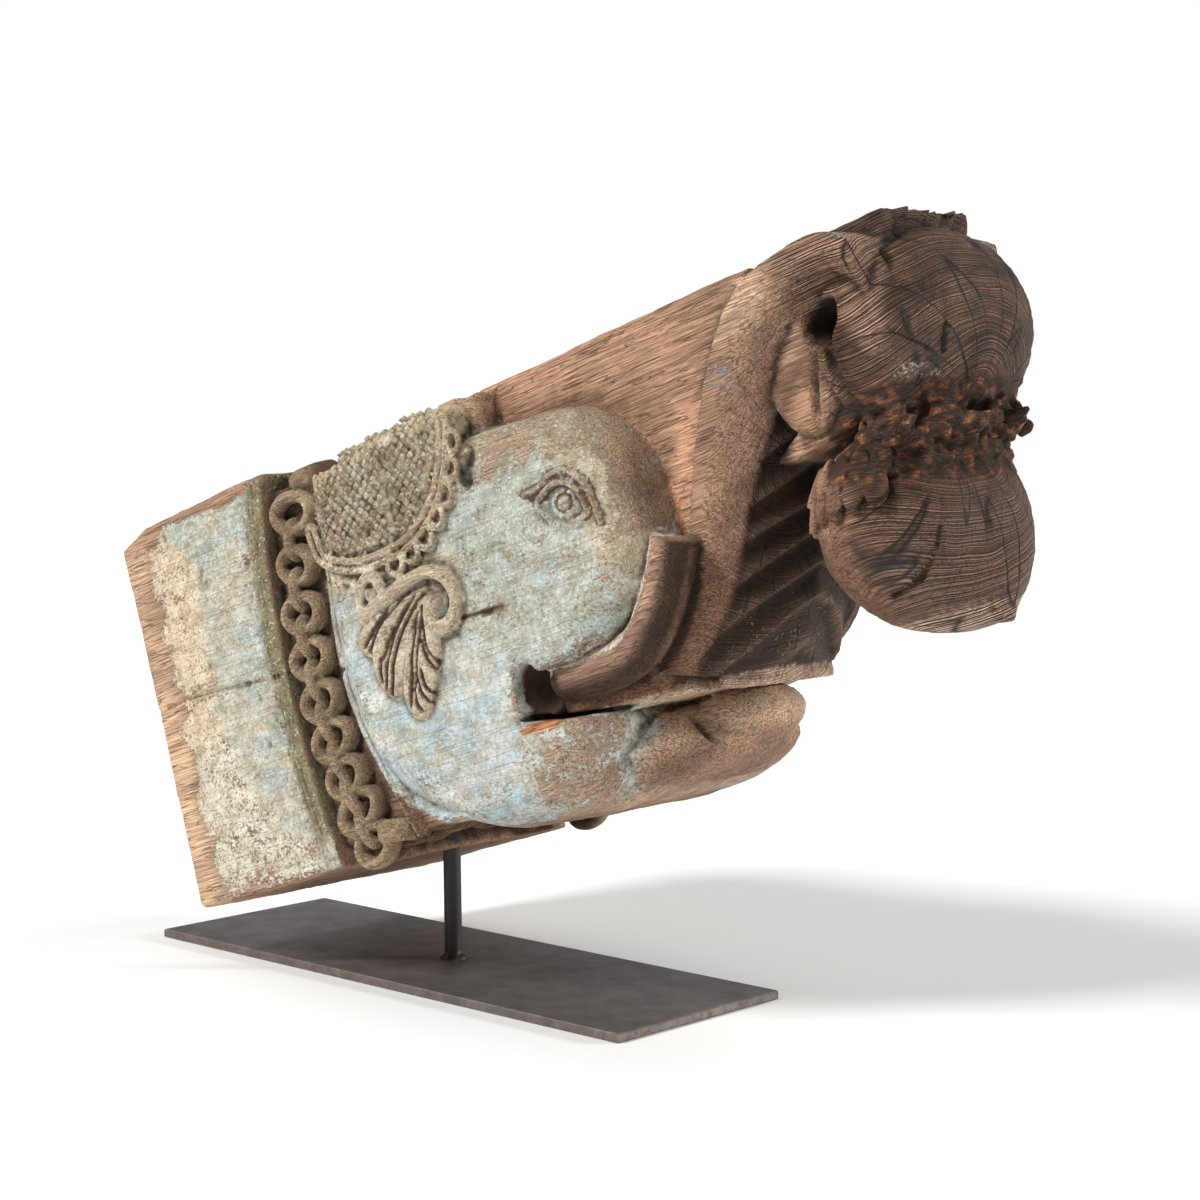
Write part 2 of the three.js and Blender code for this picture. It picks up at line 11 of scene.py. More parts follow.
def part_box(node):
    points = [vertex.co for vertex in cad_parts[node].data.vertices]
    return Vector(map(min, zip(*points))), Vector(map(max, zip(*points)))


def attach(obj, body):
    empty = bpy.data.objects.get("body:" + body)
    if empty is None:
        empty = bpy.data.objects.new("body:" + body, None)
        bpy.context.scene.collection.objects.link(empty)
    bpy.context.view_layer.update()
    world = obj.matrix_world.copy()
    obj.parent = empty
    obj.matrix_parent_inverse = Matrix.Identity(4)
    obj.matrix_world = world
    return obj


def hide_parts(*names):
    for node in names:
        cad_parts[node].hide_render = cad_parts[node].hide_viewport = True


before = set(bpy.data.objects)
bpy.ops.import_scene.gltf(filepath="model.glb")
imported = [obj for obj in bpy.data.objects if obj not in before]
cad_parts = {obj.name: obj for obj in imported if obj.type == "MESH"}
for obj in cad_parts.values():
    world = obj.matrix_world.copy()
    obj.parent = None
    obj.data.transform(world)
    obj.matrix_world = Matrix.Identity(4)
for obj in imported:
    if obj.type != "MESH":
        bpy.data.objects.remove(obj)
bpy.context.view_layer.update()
print("frame loaded")

timber = {"tilt": 17.4, "rodAlong": 149, "rodEntry": 81}
tilt = math.radians(timber["tilt"])
timberStart = (
    -timber["rodAlong"] * math.cos(tilt),
    timber["rodEntry"] - timber["rodAlong"] * math.sin(tilt),
)


def toWorld(points):
    # timber frame in mm to the part's frame in metres
    along, up, out = points[..., 0], points[..., 1], points[..., 2]
    x = timberStart[0] + along * math.cos(tilt) - up * math.sin(tilt)
    z = timberStart[1] + along * math.sin(tilt) + up * math.cos(tilt)
    return np.stack([x, -out, z], axis=-1) / 1000


def smoothLine(points, closed=True, pieces=5):
    # centripetal spline through a few points
    p = np.array(points, float)
    count = len(p)
    ends = range(count if closed else count - 1)
    ahead = np.roll(p, -1, axis=0) if closed else np.vstack([p[1:], 2 * p[-1] - p[-2]])
    behind = np.roll(p, 1, axis=0) if closed else np.vstack([2 * p[0] - p[1], p[:-1]])
    stepAhead = np.sqrt(np.linalg.norm(ahead - p, axis=1))[:, None] + 1e-6
    stepBehind = np.sqrt(np.linalg.norm(p - behind, axis=1))[:, None] + 1e-6
    slope = (p - behind) / stepBehind * stepAhead + (ahead - p) / stepAhead * stepBehind
    slope /= stepAhead + stepBehind
    line = []
    for i in ends:
        j = (i + 1) % count
        for k in range(pieces):
            t = k / pieces
            a, b = 2 * t**3 - 3 * t**2 + 1, t**3 - 2 * t**2 + t
            c, d = 3 * t**2 - 2 * t**3, t**3 - t**2
            line.append(a * p[i] + c * p[j] + stepAhead[i] * (b * slope[i] + d * slope[j]))
    if not closed:
        line.append(p[-1])
    return np.array(line)


def stroke(points, pieces=5):
    # smooth line with open ends
    return smoothLine(points, False, pieces)


def lineDistance(along, up, line):
    # distance to an open line, and the side, positive to the left of it
    best = np.full(np.broadcast(along, up).shape, 1e12)
    side = np.zeros_like(best)
    for (a, b), (c, d) in zip(line[:-1], line[1:]):
        run = (c - a) ** 2 + (d - b) ** 2 + 1e-9
        t = np.clip(((along - a) * (c - a) + (up - b) * (d - b)) / run, 0, 1)
        gap = (along - a - t * (c - a)) ** 2 + (up - b - t * (d - b)) ** 2
        cross = (c - a) * (up - b) - (d - b) * (along - a)
        nearer = gap < best
        best = np.where(nearer, gap, best)
        side = np.where(nearer, np.sign(cross), side)
    return np.sqrt(best), side


def outlineDistance(along, up, outline):
    # distance to a closed outline, negative inside
    closed = np.vstack([outline, outline[:1]])
    gap, _ = lineDistance(along, up, closed)
    inside = np.zeros(gap.shape, bool)
    for (a, b), (c, d) in zip(closed[:-1], closed[1:]):
        if b != d:
            crosses = (b > up) != (d > up)
            inside ^= crosses & (along < (c - a) * (up - b) / (d - b) + a)
    return np.where(inside, -gap, gap)


def ramp(value, low, high):
    # smooth step from 0 at low to 1 at high
    t = np.clip((value - low) / (high - low), 0, 1)
    return t * t * (3 - 2 * t)


def blend(a, b, width):
    # soft union of two distances
    if not width:
        return np.minimum(a, b)
    h = np.clip(0.5 + (b - a) / (2 * width), 0, 1)
    return b + (a - b) * h - width * h * (1 - h)


chance = np.random.default_rng(11)
noiseTable = chance.random((64, 64, 64)).astype(np.float32) * 2 - 1


def noise(along, up, out, size, seed=0):
    # smooth noise from -1 to 1, its size in mm, one number or one for each direction
    size = np.broadcast_to(np.array(size, float), 3)
    cells, shares = [], []
    for axis, value in enumerate((along, up, out)):
        place = np.asarray(value) / size[axis] + seed * 17.3 + axis * 5.1 + 64
        cell = np.floor(place).astype(np.int32)
        t = place - cell
        cells.append(cell)
        shares.append((t * t * (3 - 2 * t)).astype(np.float32))
    total = 0
    for corner in range(8):
        bits = (corner & 1, corner >> 1 & 1, corner >> 2 & 1)
        index = [(cell + bit) & 63 for cell, bit in zip(cells, bits)]
        weight = 1
        for share, bit in zip(shares, bits):
            weight = weight * (share if bit else 1 - share)
        total = total + noiseTable[index[0], index[1], index[2]] * weight
    return total


# The block that is carved: a grid of distances over one half of the timber, mirrored at the end
grid = {"cell": 1.1, "along": (-10, 696), "up": (-22, 284), "out": 120, "far": 50}
gridAlong = np.arange(*grid["along"], grid["cell"], dtype=np.float32)
gridUp = np.arange(*grid["up"], grid["cell"], dtype=np.float32)
gridOut = (np.arange(int(grid["out"] / grid["cell"])) + 0.5).astype(np.float32) * grid["cell"]
field = np.full((len(gridAlong), len(gridUp), len(gridOut)), grid["far"], np.float32)


def work(box, tool):
    # reads and writes the part of the field in a box (low along, high along, low up, high up)
    a0, a1 = np.searchsorted(gridAlong, box[:2])
    u0, u1 = np.searchsorted(gridUp, box[2:])
    along = gridAlong[a0:a1, None, None]
    up = gridUp[None, u0:u1, None]
    field[a0:a1, u0:u1] = tool(field[a0:a1, u0:u1], along, up, gridOut[None, None, :])


def unite(box, shape, width=0):
    work(box, lambda was, along, up, out: blend(was, shape(along, up, out), width))


def carve(box, shape, width=0):
    work(box, lambda was, along, up, out: -blend(-was, shape(along, up, out), width))


def boxOf(outline, spare=6):
    low, high = np.min(outline, axis=0), np.max(outline, axis=0)
    return (low[0] - spare, high[0] + spare, low[1] - spare, high[1] + spare)


def pillow(flat, out, half, inset, depth):
    # flat form carried out to its half breadth, its margin rounded over inset and depth
    x = np.maximum(flat + inset, 0) / inset
    z = np.maximum(out - half + depth, 0) / depth
    return (np.sqrt(x * x + z * z) - 1) * min(inset, depth)


def ball(along, up, out, centre, sizes):
    x, y, z = ((p - c) / s for p, c, s in zip((along, up, out), centre, sizes))
    return (np.sqrt(x * x + y * y + z * z) - 1) * min(sizes)


def rope(along, up, out, line, rise, radius):
    # round roll along a flat line that lies at a given distance out
    return np.sqrt(lineDistance(along, up, line)[0] ** 2 + (out - rise) ** 2) - radius


def ballOf(spec):
    return lambda along, up, out: ball(along, up, out, spec["centre"], spec["sizes"])


def ropeOf(spec):
    return lambda along, up, out: rope(along, up, out, stroke(spec["line"]), spec["out"], spec["radius"])


def sheetOf(outline, half, inset, depth):
    return lambda along, up, out: pillow(outlineDistance(along, up, outline), out, half, inset, depth)


def slabDistance(value, low, high):
    # distance outside the range from low to high
    return np.abs(value - (low + high) / 2) - (high - low) / 2


# Squared end of the timber: one straight face, sawn, leaning back at its top, with worn arrises
squaredEnd = {"half": 105, "top": 266, "wornTop": 257, "wornLength": 26, "lean": 5, "arris": 4, "chip": 3}
collar = {"edge": 142, "waist": 130, "bow": 16, "reach": 135}
collarLines = {"first": 3, "apart": 4.6, "count": 3, "breadth": 1.0, "depth": 2.4}


def collarEdge(up):
    return collar["edge"] + collar["bow"] * ((up - collar["waist"]) / collar["reach"]) ** 2


endOutline = np.array([
    (0, squaredEnd["chip"]), (squaredEnd["chip"], 0),
    *[(collarEdge(up), up) for up in np.linspace(0, squaredEnd["top"], 12)],
    (squaredEnd["wornLength"], squaredEnd["top"]), (-squaredEnd["lean"], squaredEnd["wornTop"]),
])


def squaredEndShape(along, up, out):
    flat = outlineDistance(along, up, endOutline)
    cuts = 0
    for k in range(collarLines["count"]):
        offset = collarEdge(up) - collarLines["first"] - collarLines["apart"] * k - along
        cuts = cuts + collarLines["depth"] * np.exp(-((offset / collarLines["breadth"]) ** 2))
    return pillow(flat, out, squaredEnd["half"] - cuts, squaredEnd["arris"], squaredEnd["arris"])


unite(boxOf(endOutline), squaredEndShape)

# Neck: the sunk channel for the chain, a low step ahead of it with a double ridge on its edge
neck = {
    "half": 92, "arris": 6, "box": (130, 350, 0, 262),
    "outline": np.array([(135, 12), (345, 12), (345, 254), (135, 254)]),
}
step = {
    "half": 96.5, "inset": 3, "depth": 4, "ridge": 2.6, "ridgeOut": 96, "apart": 6,
    "edge": stroke([
        (205, 250), (201, 213), (197, 180), (193, 147), (193, 113), (199, 85), (209, 57), (222, 26), (230, 8),
    ]),
}
step["outline"] = np.vstack([step["edge"], [(340, 10), (340, 252)]])


def neckShape(along, up, out):
    floor = sheetOf(neck["outline"], neck["half"], neck["arris"], neck["arris"])(along, up, out)
    raised = sheetOf(step["outline"], step["half"], step["inset"], step["depth"])(along, up, out)
    ridge = rope(along, up, out, step["edge"], step["ridgeOut"], step["ridge"])
    second = rope(along, up, out, step["edge"] + [step["apart"], 0], step["ridgeOut"], step["ridge"])
    return np.minimum(np.minimum(floor, raised), np.minimum(ridge, second))


unite(neck["box"], neckShape, 1)

# Head: a pillowed relief of the skull and cheek
head = {"half": 108, "inset": 31, "depth": 44, "swell": 1.5, "swellSize": 60}
headOutline = smoothLine([
    (188, 180), (187, 147), (189, 112), (198, 70), (217, 38), (248, 14), (292, -3), (345, -6), (380, 0),
    (402, 26), (412, 56), (432, 82), (460, 102), (476, 130), (477, 160), (466, 194), (442, 221),
    (407, 233), (368, 236), (322, 243), (265, 250), (215, 243), (193, 213),
])


def headShape(along, up, out):
    flat = outlineDistance(along, up, headOutline)
    swell = head["swell"] * noise(along, up, 0, head["swellSize"], 3)
    return pillow(flat, out, head["half"] + swell, head["inset"], head["depth"])


unite(boxOf(headOutline), headShape, 2)

# Plain board behind the head
board = {"half": 65, "arris": 2.5}
boardOutline = np.array([
    (335, 50), (425, 48), (447, 72), (482, 115), (512, 175), (546, 238), (570, 266), (335, 266),
], float)
unite(boxOf(boardOutline), sheetOf(boardOutline, board["half"], board["arris"], board["arris"]))

# Cap: low cushion with a rolled double border; its diamonds and scallops are set on it later
cap = {"half": 109.5, "inset": 12, "depth": 22}
capOutline = smoothLine([
    (207, 197), (222, 187), (253, 181), (292, 184), (320, 200), (334, 214), (345, 236), (345, 254),
    (300, 258), (250, 256), (214, 240), (204, 217),
])
capBorder = {"radius": 2.6, "apart": 3.1}
borderLine = stroke([
    (205, 214), (209, 196), (224, 186), (253, 180), (292, 183), (321, 198), (337, 217), (348, 244),
])
crest = {
    "along": (318, 353), "up": (225, 262), "half": 86, "arris": 7, "rough": 2.5, "roughSize": 14,
    "box": (310, 361, 217, 270),
}
scoop = {"line": [(353, 206), (359, 224), (361, 246)], "out": 108, "radius": 6.5, "rough": 2, "roughSize": 9}


def capShape(along, up, out):
    cushion = sheetOf(capOutline, cap["half"], cap["inset"], cap["depth"])(along, up, out)
    gap, side = lineDistance(along, up, borderLine)
    for middle in (-capBorder["apart"], capBorder["apart"]):
        roll = np.sqrt((gap * side - middle) ** 2 + (out - cap["half"]) ** 2) - capBorder["radius"]
        cushion = np.minimum(cushion, roll)
    return cushion


def crestShape(along, up, out):
    flat = np.maximum(slabDistance(along, *crest["along"]), slabDistance(up, *crest["up"]))
    rough = crest["rough"] * noise(along, up, out, crest["roughSize"], 5)
    return pillow(flat, out, crest["half"], crest["arris"], crest["arris"]) + rough


def scoopShape(along, up, out):
    return ropeOf(scoop)(along, up, out) + scoop["rough"] * noise(along, up, out, scoop["roughSize"], 6)


unite(boxOf(capOutline), capShape)
unite(crest["box"], crestShape, 2)
carve(boxOf(stroke(scoop["line"]), 14), scoopShape, 1.5)

# Ear ornament: a fan of three leaves, veined with cuts, hanging from a band between two scrolls
ear = {
    "foot": 108, "rise": 5, "barRise": 1.5, "cut": 2.1, "tipDrop": 2.5, "tipWidth": 5,
    "box": (212, 336, 62, 184),
}
earLeaves = [smoothLine(outline) for outline in (
    [(296, 152), (262, 149), (247, 148), (232, 141), (227, 135), (234, 123), (250, 126)],
    [(297, 152), (262, 142), (240, 126), (237, 112), (243, 97), (254, 92), (263, 100), (280, 124)],
    [(299, 148), (279, 128), (262, 104), (259, 90), (263, 79), (271, 75), (280, 79), (292, 97), (302, 116),
     (306, 132)],
)]
leafCuts = [stroke(line) for line in (
    [(276, 150), (252, 139), (238, 126)], [(262, 147), (246, 138), (235, 130)],
    [(297, 149), (276, 134), (261, 118), (250, 95)], [(290, 150), (270, 136), (255, 119), (246, 100)],
    [(266, 135), (258, 128), (250, 119)], [(247, 119), (244, 106)],
    [(294, 142), (282, 116), (271, 93)], [(288, 138), (275, 111), (265, 85)],
    [(292, 134), (291, 116), (297, 105)], [(287, 121), (289, 111), (295, 101)],
    [(281, 105), (282, 94), (288, 87)], [(276, 100), (277, 91), (283, 83)], [(271, 91), (271, 85), (274, 80)],
)]
scrolls = [
    {"bar": 4.4, "boss": (248, 160, 5), "line": stroke([
        (241, 148), (237, 156), (240, 165), (248, 171), (256, 170), (259, 163),
    ])},
    {"bar": 5.2, "boss": (306, 139, 7), "line": stroke([
        (238, 148), (252, 152), (268, 156), (286, 160), (302, 161), (316, 156), (324, 146), (324, 134),
        (316, 126), (305, 125), (298, 131),
    ])},
]


def earShape(along, up, out):
    shape = np.full(np.broadcast(along, up, out).shape, float(grid["far"]))
    top = ear["foot"] + ear["rise"]
    for outline in earLeaves:
        flat = outlineDistance(along, up, outline)
        crown = top - ear["tipDrop"] * ramp(-flat, ear["tipWidth"], 0)
        shape = np.minimum(shape, np.maximum(flat, out - crown))
    for line in leafCuts:
        shape = np.maximum(shape, -rope(along, up, out, line, top, ear["cut"]))
    for scroll in scrolls:
        bar = rope(along, up, out, scroll["line"], ear["foot"] + ear["barRise"], scroll["bar"])
        a, u, size = scroll["boss"]
        boss = ball(along, up, out, (a, u, ear["foot"]), (size, size, size))
        shape = np.minimum(shape, np.minimum(bar, boss))
    return shape


unite(ear["box"], earShape, 0.6)

# Eye: ball with an incised iris between two lids, and an outer fold above
eye = {"centre": (430, 169, 105), "sizes": (12, 9.5, 5), "iris": 6.2, "irisRise": 4.5, "irisCut": 1.3}
eyeBox = (388, 460, 148, 200)
irisBox = (410, 440, 156, 184)
socket = {"centre": (427, 170, 113), "sizes": (27, 17, 6.8)}
lids = [
    {"out": 108.2, "radius": 1.7, "line": [
        (405, 174), (412, 178), (422, 182), (432, 181), (440, 175), (445, 164), (446, 157),
    ]},
    {"out": 107.8, "radius": 1.7, "line": [(405, 174), (413, 165), (424, 157), (437, 157), (447, 160)]},
    {"out": 108, "radius": 1.6, "line": [
        (398, 183), (410, 183), (422, 188), (435, 188), (445, 180), (451, 168), (454, 151),
    ]},
]


def eyeShape(along, up, out):
    return np.minimum.reduce([ballOf(eye)(along, up, out), *[ropeOf(lid)(along, up, out) for lid in lids]])


def irisCut(along, up, out):
    around = np.hypot(along - eye["centre"][0], up - eye["centre"][1])
    rise = out - eye["centre"][2] - eye["irisRise"]
    return np.sqrt((around - eye["iris"]) ** 2 + rise**2) - eye["irisCut"]


carve(eyeBox, ballOf(socket), 1.5)
unite(eyeBox, eyeShape, 0.5)
carve(irisBox, irisCut)

# Mouth: upper lip, lower jaw with its tongue-like middle lobe, pocket and slot between them
mouth = {"out": 66, "outline": np.array([
    (370, 54), (367, 66), (372, 80), (400, 83), (428, 87), (449, 99), (465, 114), (480, 131), (505, 131),
    (505, 40), (400, 46),
])}
lip = {
    "along": [346, 380, 412, 448], "half": [96, 90, 76, 62], "ends": (372, 450), "up": (46, 78), "arris": 9,
    "box": (340, 455, 40, 84),
}
jaw = {
    "along": [320, 352, 385, 410, 430, 442], "half": [101, 97, 80, 62, 46, 30],
    "bottom": [-6, -5, -3, 2, 8, 14], "top": [50, 50, 49, 47, 44, 40], "lean": 0.7, "leanFrom": 400,
    "square": 3, "scale": 22, "box": (312, 470, -14, 60),
}
lobe = {"centre": (430, 29, 0), "sizes": (42, 20, 36), "box": (380, 480, 2, 56)}
lobeCrease = {
    "out": 40, "radius": 2.6, "line": [(424, 46), (428, 34), (437, 20), (452, 10)], "box": (416, 462, 2, 54),
}
pocket = {"centre": (364, 70, 108), "sizes": (12, 18, 28), "box": (350, 378, 50, 90)}
slot = {"out": 68, "box": (346, 476, 38, 64), "outline": np.array([
    (350, 55), (372, 50.5), (430, 44.5), (470, 42.5), (470, 45), (430, 47), (372, 53.5), (352, 58),
])}


def throughCut(spec):
    # everything inside an outline and farther out than a given distance
    return lambda a, u, o: np.maximum(outlineDistance(a, u, spec["outline"]), spec["out"] - o)


def lipShape(along, up, out):
    half = np.interp(along, lip["along"], lip["half"])
    flat = np.maximum(slabDistance(up, *lip["up"]), slabDistance(along, *lip["ends"]))
    return pillow(flat, out, half, lip["arris"], lip["arris"])


def jawShape(along, up, out):
    low, high = (np.interp(along, jaw["along"], jaw[edge]) for edge in ("bottom", "top"))
    ahead = along - np.where(along > jaw["leanFrom"], jaw["lean"] * ((low + high) / 2 - up), 0)
    low, high, half = (np.interp(ahead, jaw["along"], jaw[edge]) for edge in ("bottom", "top", "half"))
    height, width = (up - (low + high) / 2) / ((high - low) / 2), out / half
    power = jaw["square"]
    barrel = (np.abs(height) ** power + width**power) ** (1 / power)
    ends = np.maximum(jaw["along"][0] - along, ahead - jaw["along"][-1])
    return np.maximum((barrel - 1) * jaw["scale"], ends)


carve(boxOf(mouth["outline"]), throughCut(mouth), 2.5)
unite(lip["box"], lipShape, 2)
unite(jaw["box"], jawShape, 3)
unite(lobe["box"], ballOf(lobe))
carve(lobeCrease["box"], ropeOf(lobeCrease), 1)
carve(pocket["box"], ballOf(pocket), 2)
carve(slot["box"], throughCut(slot), 0.8)

# Tusk stubs: a roll along the cheek, sawn off flat, with a crease where it meets the cheek
tusk = {"radius": 14.5, "out": 84, "cutAt": (486, 131), "cutFace": (0.496, 0.868), "box": (338, 510, 50, 150)}
tuskLine = stroke([
    (382, 73), (405, 72), (430, 74), (447, 81), (462, 95), (474, 110), (485, 129), (496, 151),
])
cheekCrease = {"out": 99, "radius": 2.2, "box": (362, 476, 78, 140), "line": [
    (373, 83), (400, 85), (428, 89), (448, 101), (462, 115), (474, 131),
]}


def pastCut(along, up):
    # distance past the sawn face of the tusk
    return (along - tusk["cutAt"][0]) * tusk["cutFace"][0] + (up - tusk["cutAt"][1]) * tusk["cutFace"][1]


def tuskShape(along, up, out):
    return np.maximum(rope(along, up, out, tuskLine, tusk["out"], tusk["radius"]), pastCut(along, up))


carve(cheekCrease["box"], ropeOf(cheekCrease), 1)
unite(tusk["box"], tuskShape, 0.8)

# Trunk: square arris behind, round in front, wrinkled into stepped folds
trunkBack = stroke([
    (436, 62), (441, 81), (466, 106), (481, 131), (503, 179), (517, 204),
    (537, 234), (561, 257), (600, 266), (626, 266), (644, 256),
])
trunkFront = stroke([
    (478, 47), (505, 78), (519, 108), (528, 133), (548, 170), (562, 194),
    (577, 214), (594, 228), (614, 232), (640, 195),
])
trunk = {"half": 70, "front": 34, "flat": 12}
trunkOutline = np.vstack([trunkBack, trunkFront[::-1]])
folds = {
    "start": 52, "pitch": 21, "slope": 0.26, "turn": 30, "rise": 0.4, "proud": 7, "sunk": 3.5,
    "top": 200, "bottom": 50, "wander": 3, "wanderSize": 26,
    "edgeUp": (60, 91, 176, 200), "edgeOut": (62, 57, 45, 40),
}


def foldHeight(along, up, out):
    # saw-toothed courses on the front, each proud at its lower edge, ending on a slanting line along the side
    turn = np.interp(up, trunkBack[:, 1], trunkBack[:, 0])
    wander = folds["wander"] * noise(along, up, 0, folds["wanderSize"], 8)
    slope = folds["slope"] * (along - turn - folds["turn"])
    course = (up + folds["rise"] * out - slope - folds["start"] + wander) / folds["pitch"]
    part = course - np.floor(course)
    tooth = ramp(part, 0, 0.1) * (1 - part) ** 1.2
    reach = ramp(folds["top"] - up, 0, 12) * ramp(up - folds["bottom"], 0, 8)
    inside = ramp(np.interp(up, folds["edgeUp"], folds["edgeOut"]) - out, -1, 4)
    return (folds["proud"] * tooth - folds["sunk"]) * reach * inside


def trunkShape(along, up, out):
    flat = outlineDistance(along, up, trunkOutline)
    gap, side = lineDistance(along, up, trunkFront)
    behind = gap * side
    x = np.maximum(trunk["front"] - behind, 0) / trunk["front"]
    z = out / trunk["half"]
    reach = np.sqrt(x * x + z * z)
    slope = np.sqrt((x / trunk["front"]) ** 2 + (z / trunk["half"]) ** 2) + 1e-6
    body = (reach - 1) * reach / slope - foldHeight(along, up, out)
    return np.maximum(body, flat - np.where(behind < trunk["flat"], folds["proud"], 0))


unite(boxOf(trunkOutline, 12), trunkShape)

# Curl: the rolled end of the trunk, with its inner tip, a hole in the scroll and a groove round the tip
curl = {"centre": (627, 206, 0), "sizes": (61, 61, 63), "box": (560, 695, 138, 272)}
curlTip = {"centre": (574, 201), "along": 27, "up": 36, "half": 50, "inset": 8, "box": (540, 606, 160, 242)}
curlHole = {"centre": (600, 223, 64), "sizes": (18, 15, 48), "box": (584, 620, 200, 240)}
curlGroove = {"out": 50, "radius": 3.0, "box": (570, 616, 152, 226), "line": [
    (591, 216), (586, 200), (580, 176), (580, 166),
]}
curlCrease = {"out": 54, "radius": 6.5, "box": (590, 622, 152, 226), "line": [
    (609, 214), (605, 196), (603, 180), (606, 164),
]}
remnant = {
    "from": 556, "to": 652, "up": (244, 272), "half": 41, "slant": 0.36, "sideRough": 0.6,
    "rough": ((3.5, (9, 12, 5), 21), (1.5, 4, 22)), "box": (548, 662, 236, 282),
}
wedge = {"half": 43, "inset": 2, "depth": 3, "box": (530, 614, 150, 182)}
wedgeOutline = smoothLine([(538, 158), (558, 156), (604, 168), (606, 176), (560, 172)])


def curlTipShape(along, up, out):
    x = (along - curlTip["centre"][0]) / curlTip["along"]
    y = (up - curlTip["centre"][1]) / curlTip["up"]
    flat = (np.sqrt(x * x + y * y) - 1) * curlTip["along"]
    return pillow(flat, out, curlTip["half"], curlTip["inset"], curlTip["inset"])


def remnantShape(along, up, out):
    rough = sum(height * noise(along, up, out, size, seed) for height, size, seed in remnant["rough"])
    face = along - remnant["to"] + remnant["slant"] * (remnant["up"][1] - up) + rough
    shape = np.maximum(slabDistance(up, *remnant["up"]), remnant["from"] - along)
    side = out - remnant["half"] + rough * remnant["sideRough"]
    return np.maximum(np.maximum(shape, face), side)


unite(curl["box"], ballOf(curl), 2)
unite(curlTip["box"], curlTipShape)
carve(curlHole["box"], ballOf(curlHole), 1.5)
carve(curlGroove["box"], ropeOf(curlGroove), 1)
carve(curlCrease["box"], ropeOf(curlCrease), 1)
unite(remnant["box"], remnantShape, 1)
unite(wedge["box"], sheetOf(wedgeOutline, wedge["half"], wedge["inset"], wedge["depth"]), 1)

# Bud: a turned-looking ball drawn out to a point, under a calyx of petals
bud = {"centre": (597.5, 104.5), "tip": (641, 37), "box": (530, 664, 22, 172), "profile": [
    (0, -60), (24, -55), (46, -38.5), (58, -15), (58, 8), (51, 31), (37, 51), (22, 64), (10, 71), (4.5, 76),
    (0, 80),
]}
calyx = {"radius": 63, "lean": 66, "slope": 1.1, "box": (530, 664, 100, 172)}
breakage = {
    "centre": (622, 152, 0), "sizes": (42, 21, 48), "spread": 3, "box": (582, 676, 128, 180),
    "rough": ((4.5, (12, 6, 6), 31), (2, (9, 3, 2.6), 32), (4, (14, 12, 10), 33)),
}
budAxis = np.array(bud["tip"], float) - bud["centre"]
budReach = np.hypot(*budAxis) / bud["profile"][-1][1]
budAxis *= 1 / np.hypot(*budAxis)
budProfile = stroke([(width, height * budReach) for width, height in bud["profile"]], 3)
budProfile = np.vstack([budProfile, [(-20, budProfile[-1][1] - 1), (-20, budProfile[0][1] + 1)]])


def budShape(along, up, out):
    x, y = along - bud["centre"][0], up - bud["centre"][1]
    reach = x * budAxis[0] + y * budAxis[1]
    off = y * budAxis[0] - x * budAxis[1]
    around = np.sqrt(off * off + out * out)
    return outlineDistance(around, reach + 0 * around, budProfile)


def calyxShape(along, up, out):
    x, y = along - bud["centre"][0], up - bud["centre"][1]
    around = np.sqrt(x * x + out * out)
    size = np.sqrt(around**2 + y * y)
    lean = np.degrees(np.arctan2(around, y))
    return np.maximum(size - calyx["radius"], (lean - calyx["lean"]) * calyx["slope"])


def breakageShape(along, up, out):
    coarse, fine, hollows = (
        height * noise(along, up, out, size, seed) for height, size, seed in breakage["rough"]
    )
    return ballOf(breakage)(along, up, out) + (np.abs(coarse) + np.abs(fine)) + hollows - breakage["spread"]


unite(bud["box"], budShape)
unite(calyx["box"], calyxShape, 0.5)
unite(breakage["box"], breakageShape, 1)
print("carved field", field.shape)


def skin(values, origin, cell):
    # closed surface of a field, one corner in each cell that it crosses
    inside = values < 0
    shape = tuple(n - 1 for n in values.shape)
    corners = [(i, j, k) for i in (0, 1) for j in (0, 1) for k in (0, 1)]
    count = np.zeros(shape, np.int8)
    for i, j, k in corners:
        count += inside[i:i + shape[0], j:j + shape[1], k:k + shape[2]]
    active = np.nonzero((count > 0) & (count < len(corners)))
    number = np.full(shape, -1, np.int32)
    number[active] = np.arange(len(active[0]))
    place = np.zeros((len(active[0]), 3))
    crossings = np.zeros(len(active[0]))
    at = {c: values[active[0] + c[0], active[1] + c[1], active[2] + c[2]] for c in corners}
    for c in corners:
        for axis in range(3):
            if c[axis]:
                continue
            d = tuple(1 if n == axis else c[n] for n in range(3))
            hit = (at[c] < 0) != (at[d] < 0)
            t = at[c][hit] / (at[c][hit] - at[d][hit])
            point = np.tile(np.array(c, float), (hit.sum(), 1))
            point[:, axis] += t
            place[hit] += point
            crossings[hit] += 1
    place = (place / crossings[:, None] + np.stack(active, axis=1)) * cell + origin
    quads = []
    for axis in range(3):
        low = [slice(1, -1)] * 3
        high = [slice(1, -1)] * 3
        low[axis], high[axis] = slice(0, -1), slice(1, None)
        first, second = inside[tuple(low)], inside[tuple(high)]
        for start, flip in ((first & ~second, False), (second & ~first, True)):
            edge = [line + (n != axis) for n, line in enumerate(np.nonzero(start))]
            b, c = (n for n in range(3) if n != axis)
            if axis == 1:
                b, c = c, b
            ring = []
            for db, dc in ((-1, -1), (0, -1), (0, 0), (-1, 0)):
                beside = list(edge)
                beside[b], beside[c] = edge[b] + db, edge[c] + dc
                ring.append(number[tuple(beside)])
            quads.append(np.stack(ring[::-1] if flip else ring, axis=1))
    return place, np.vstack(quads)


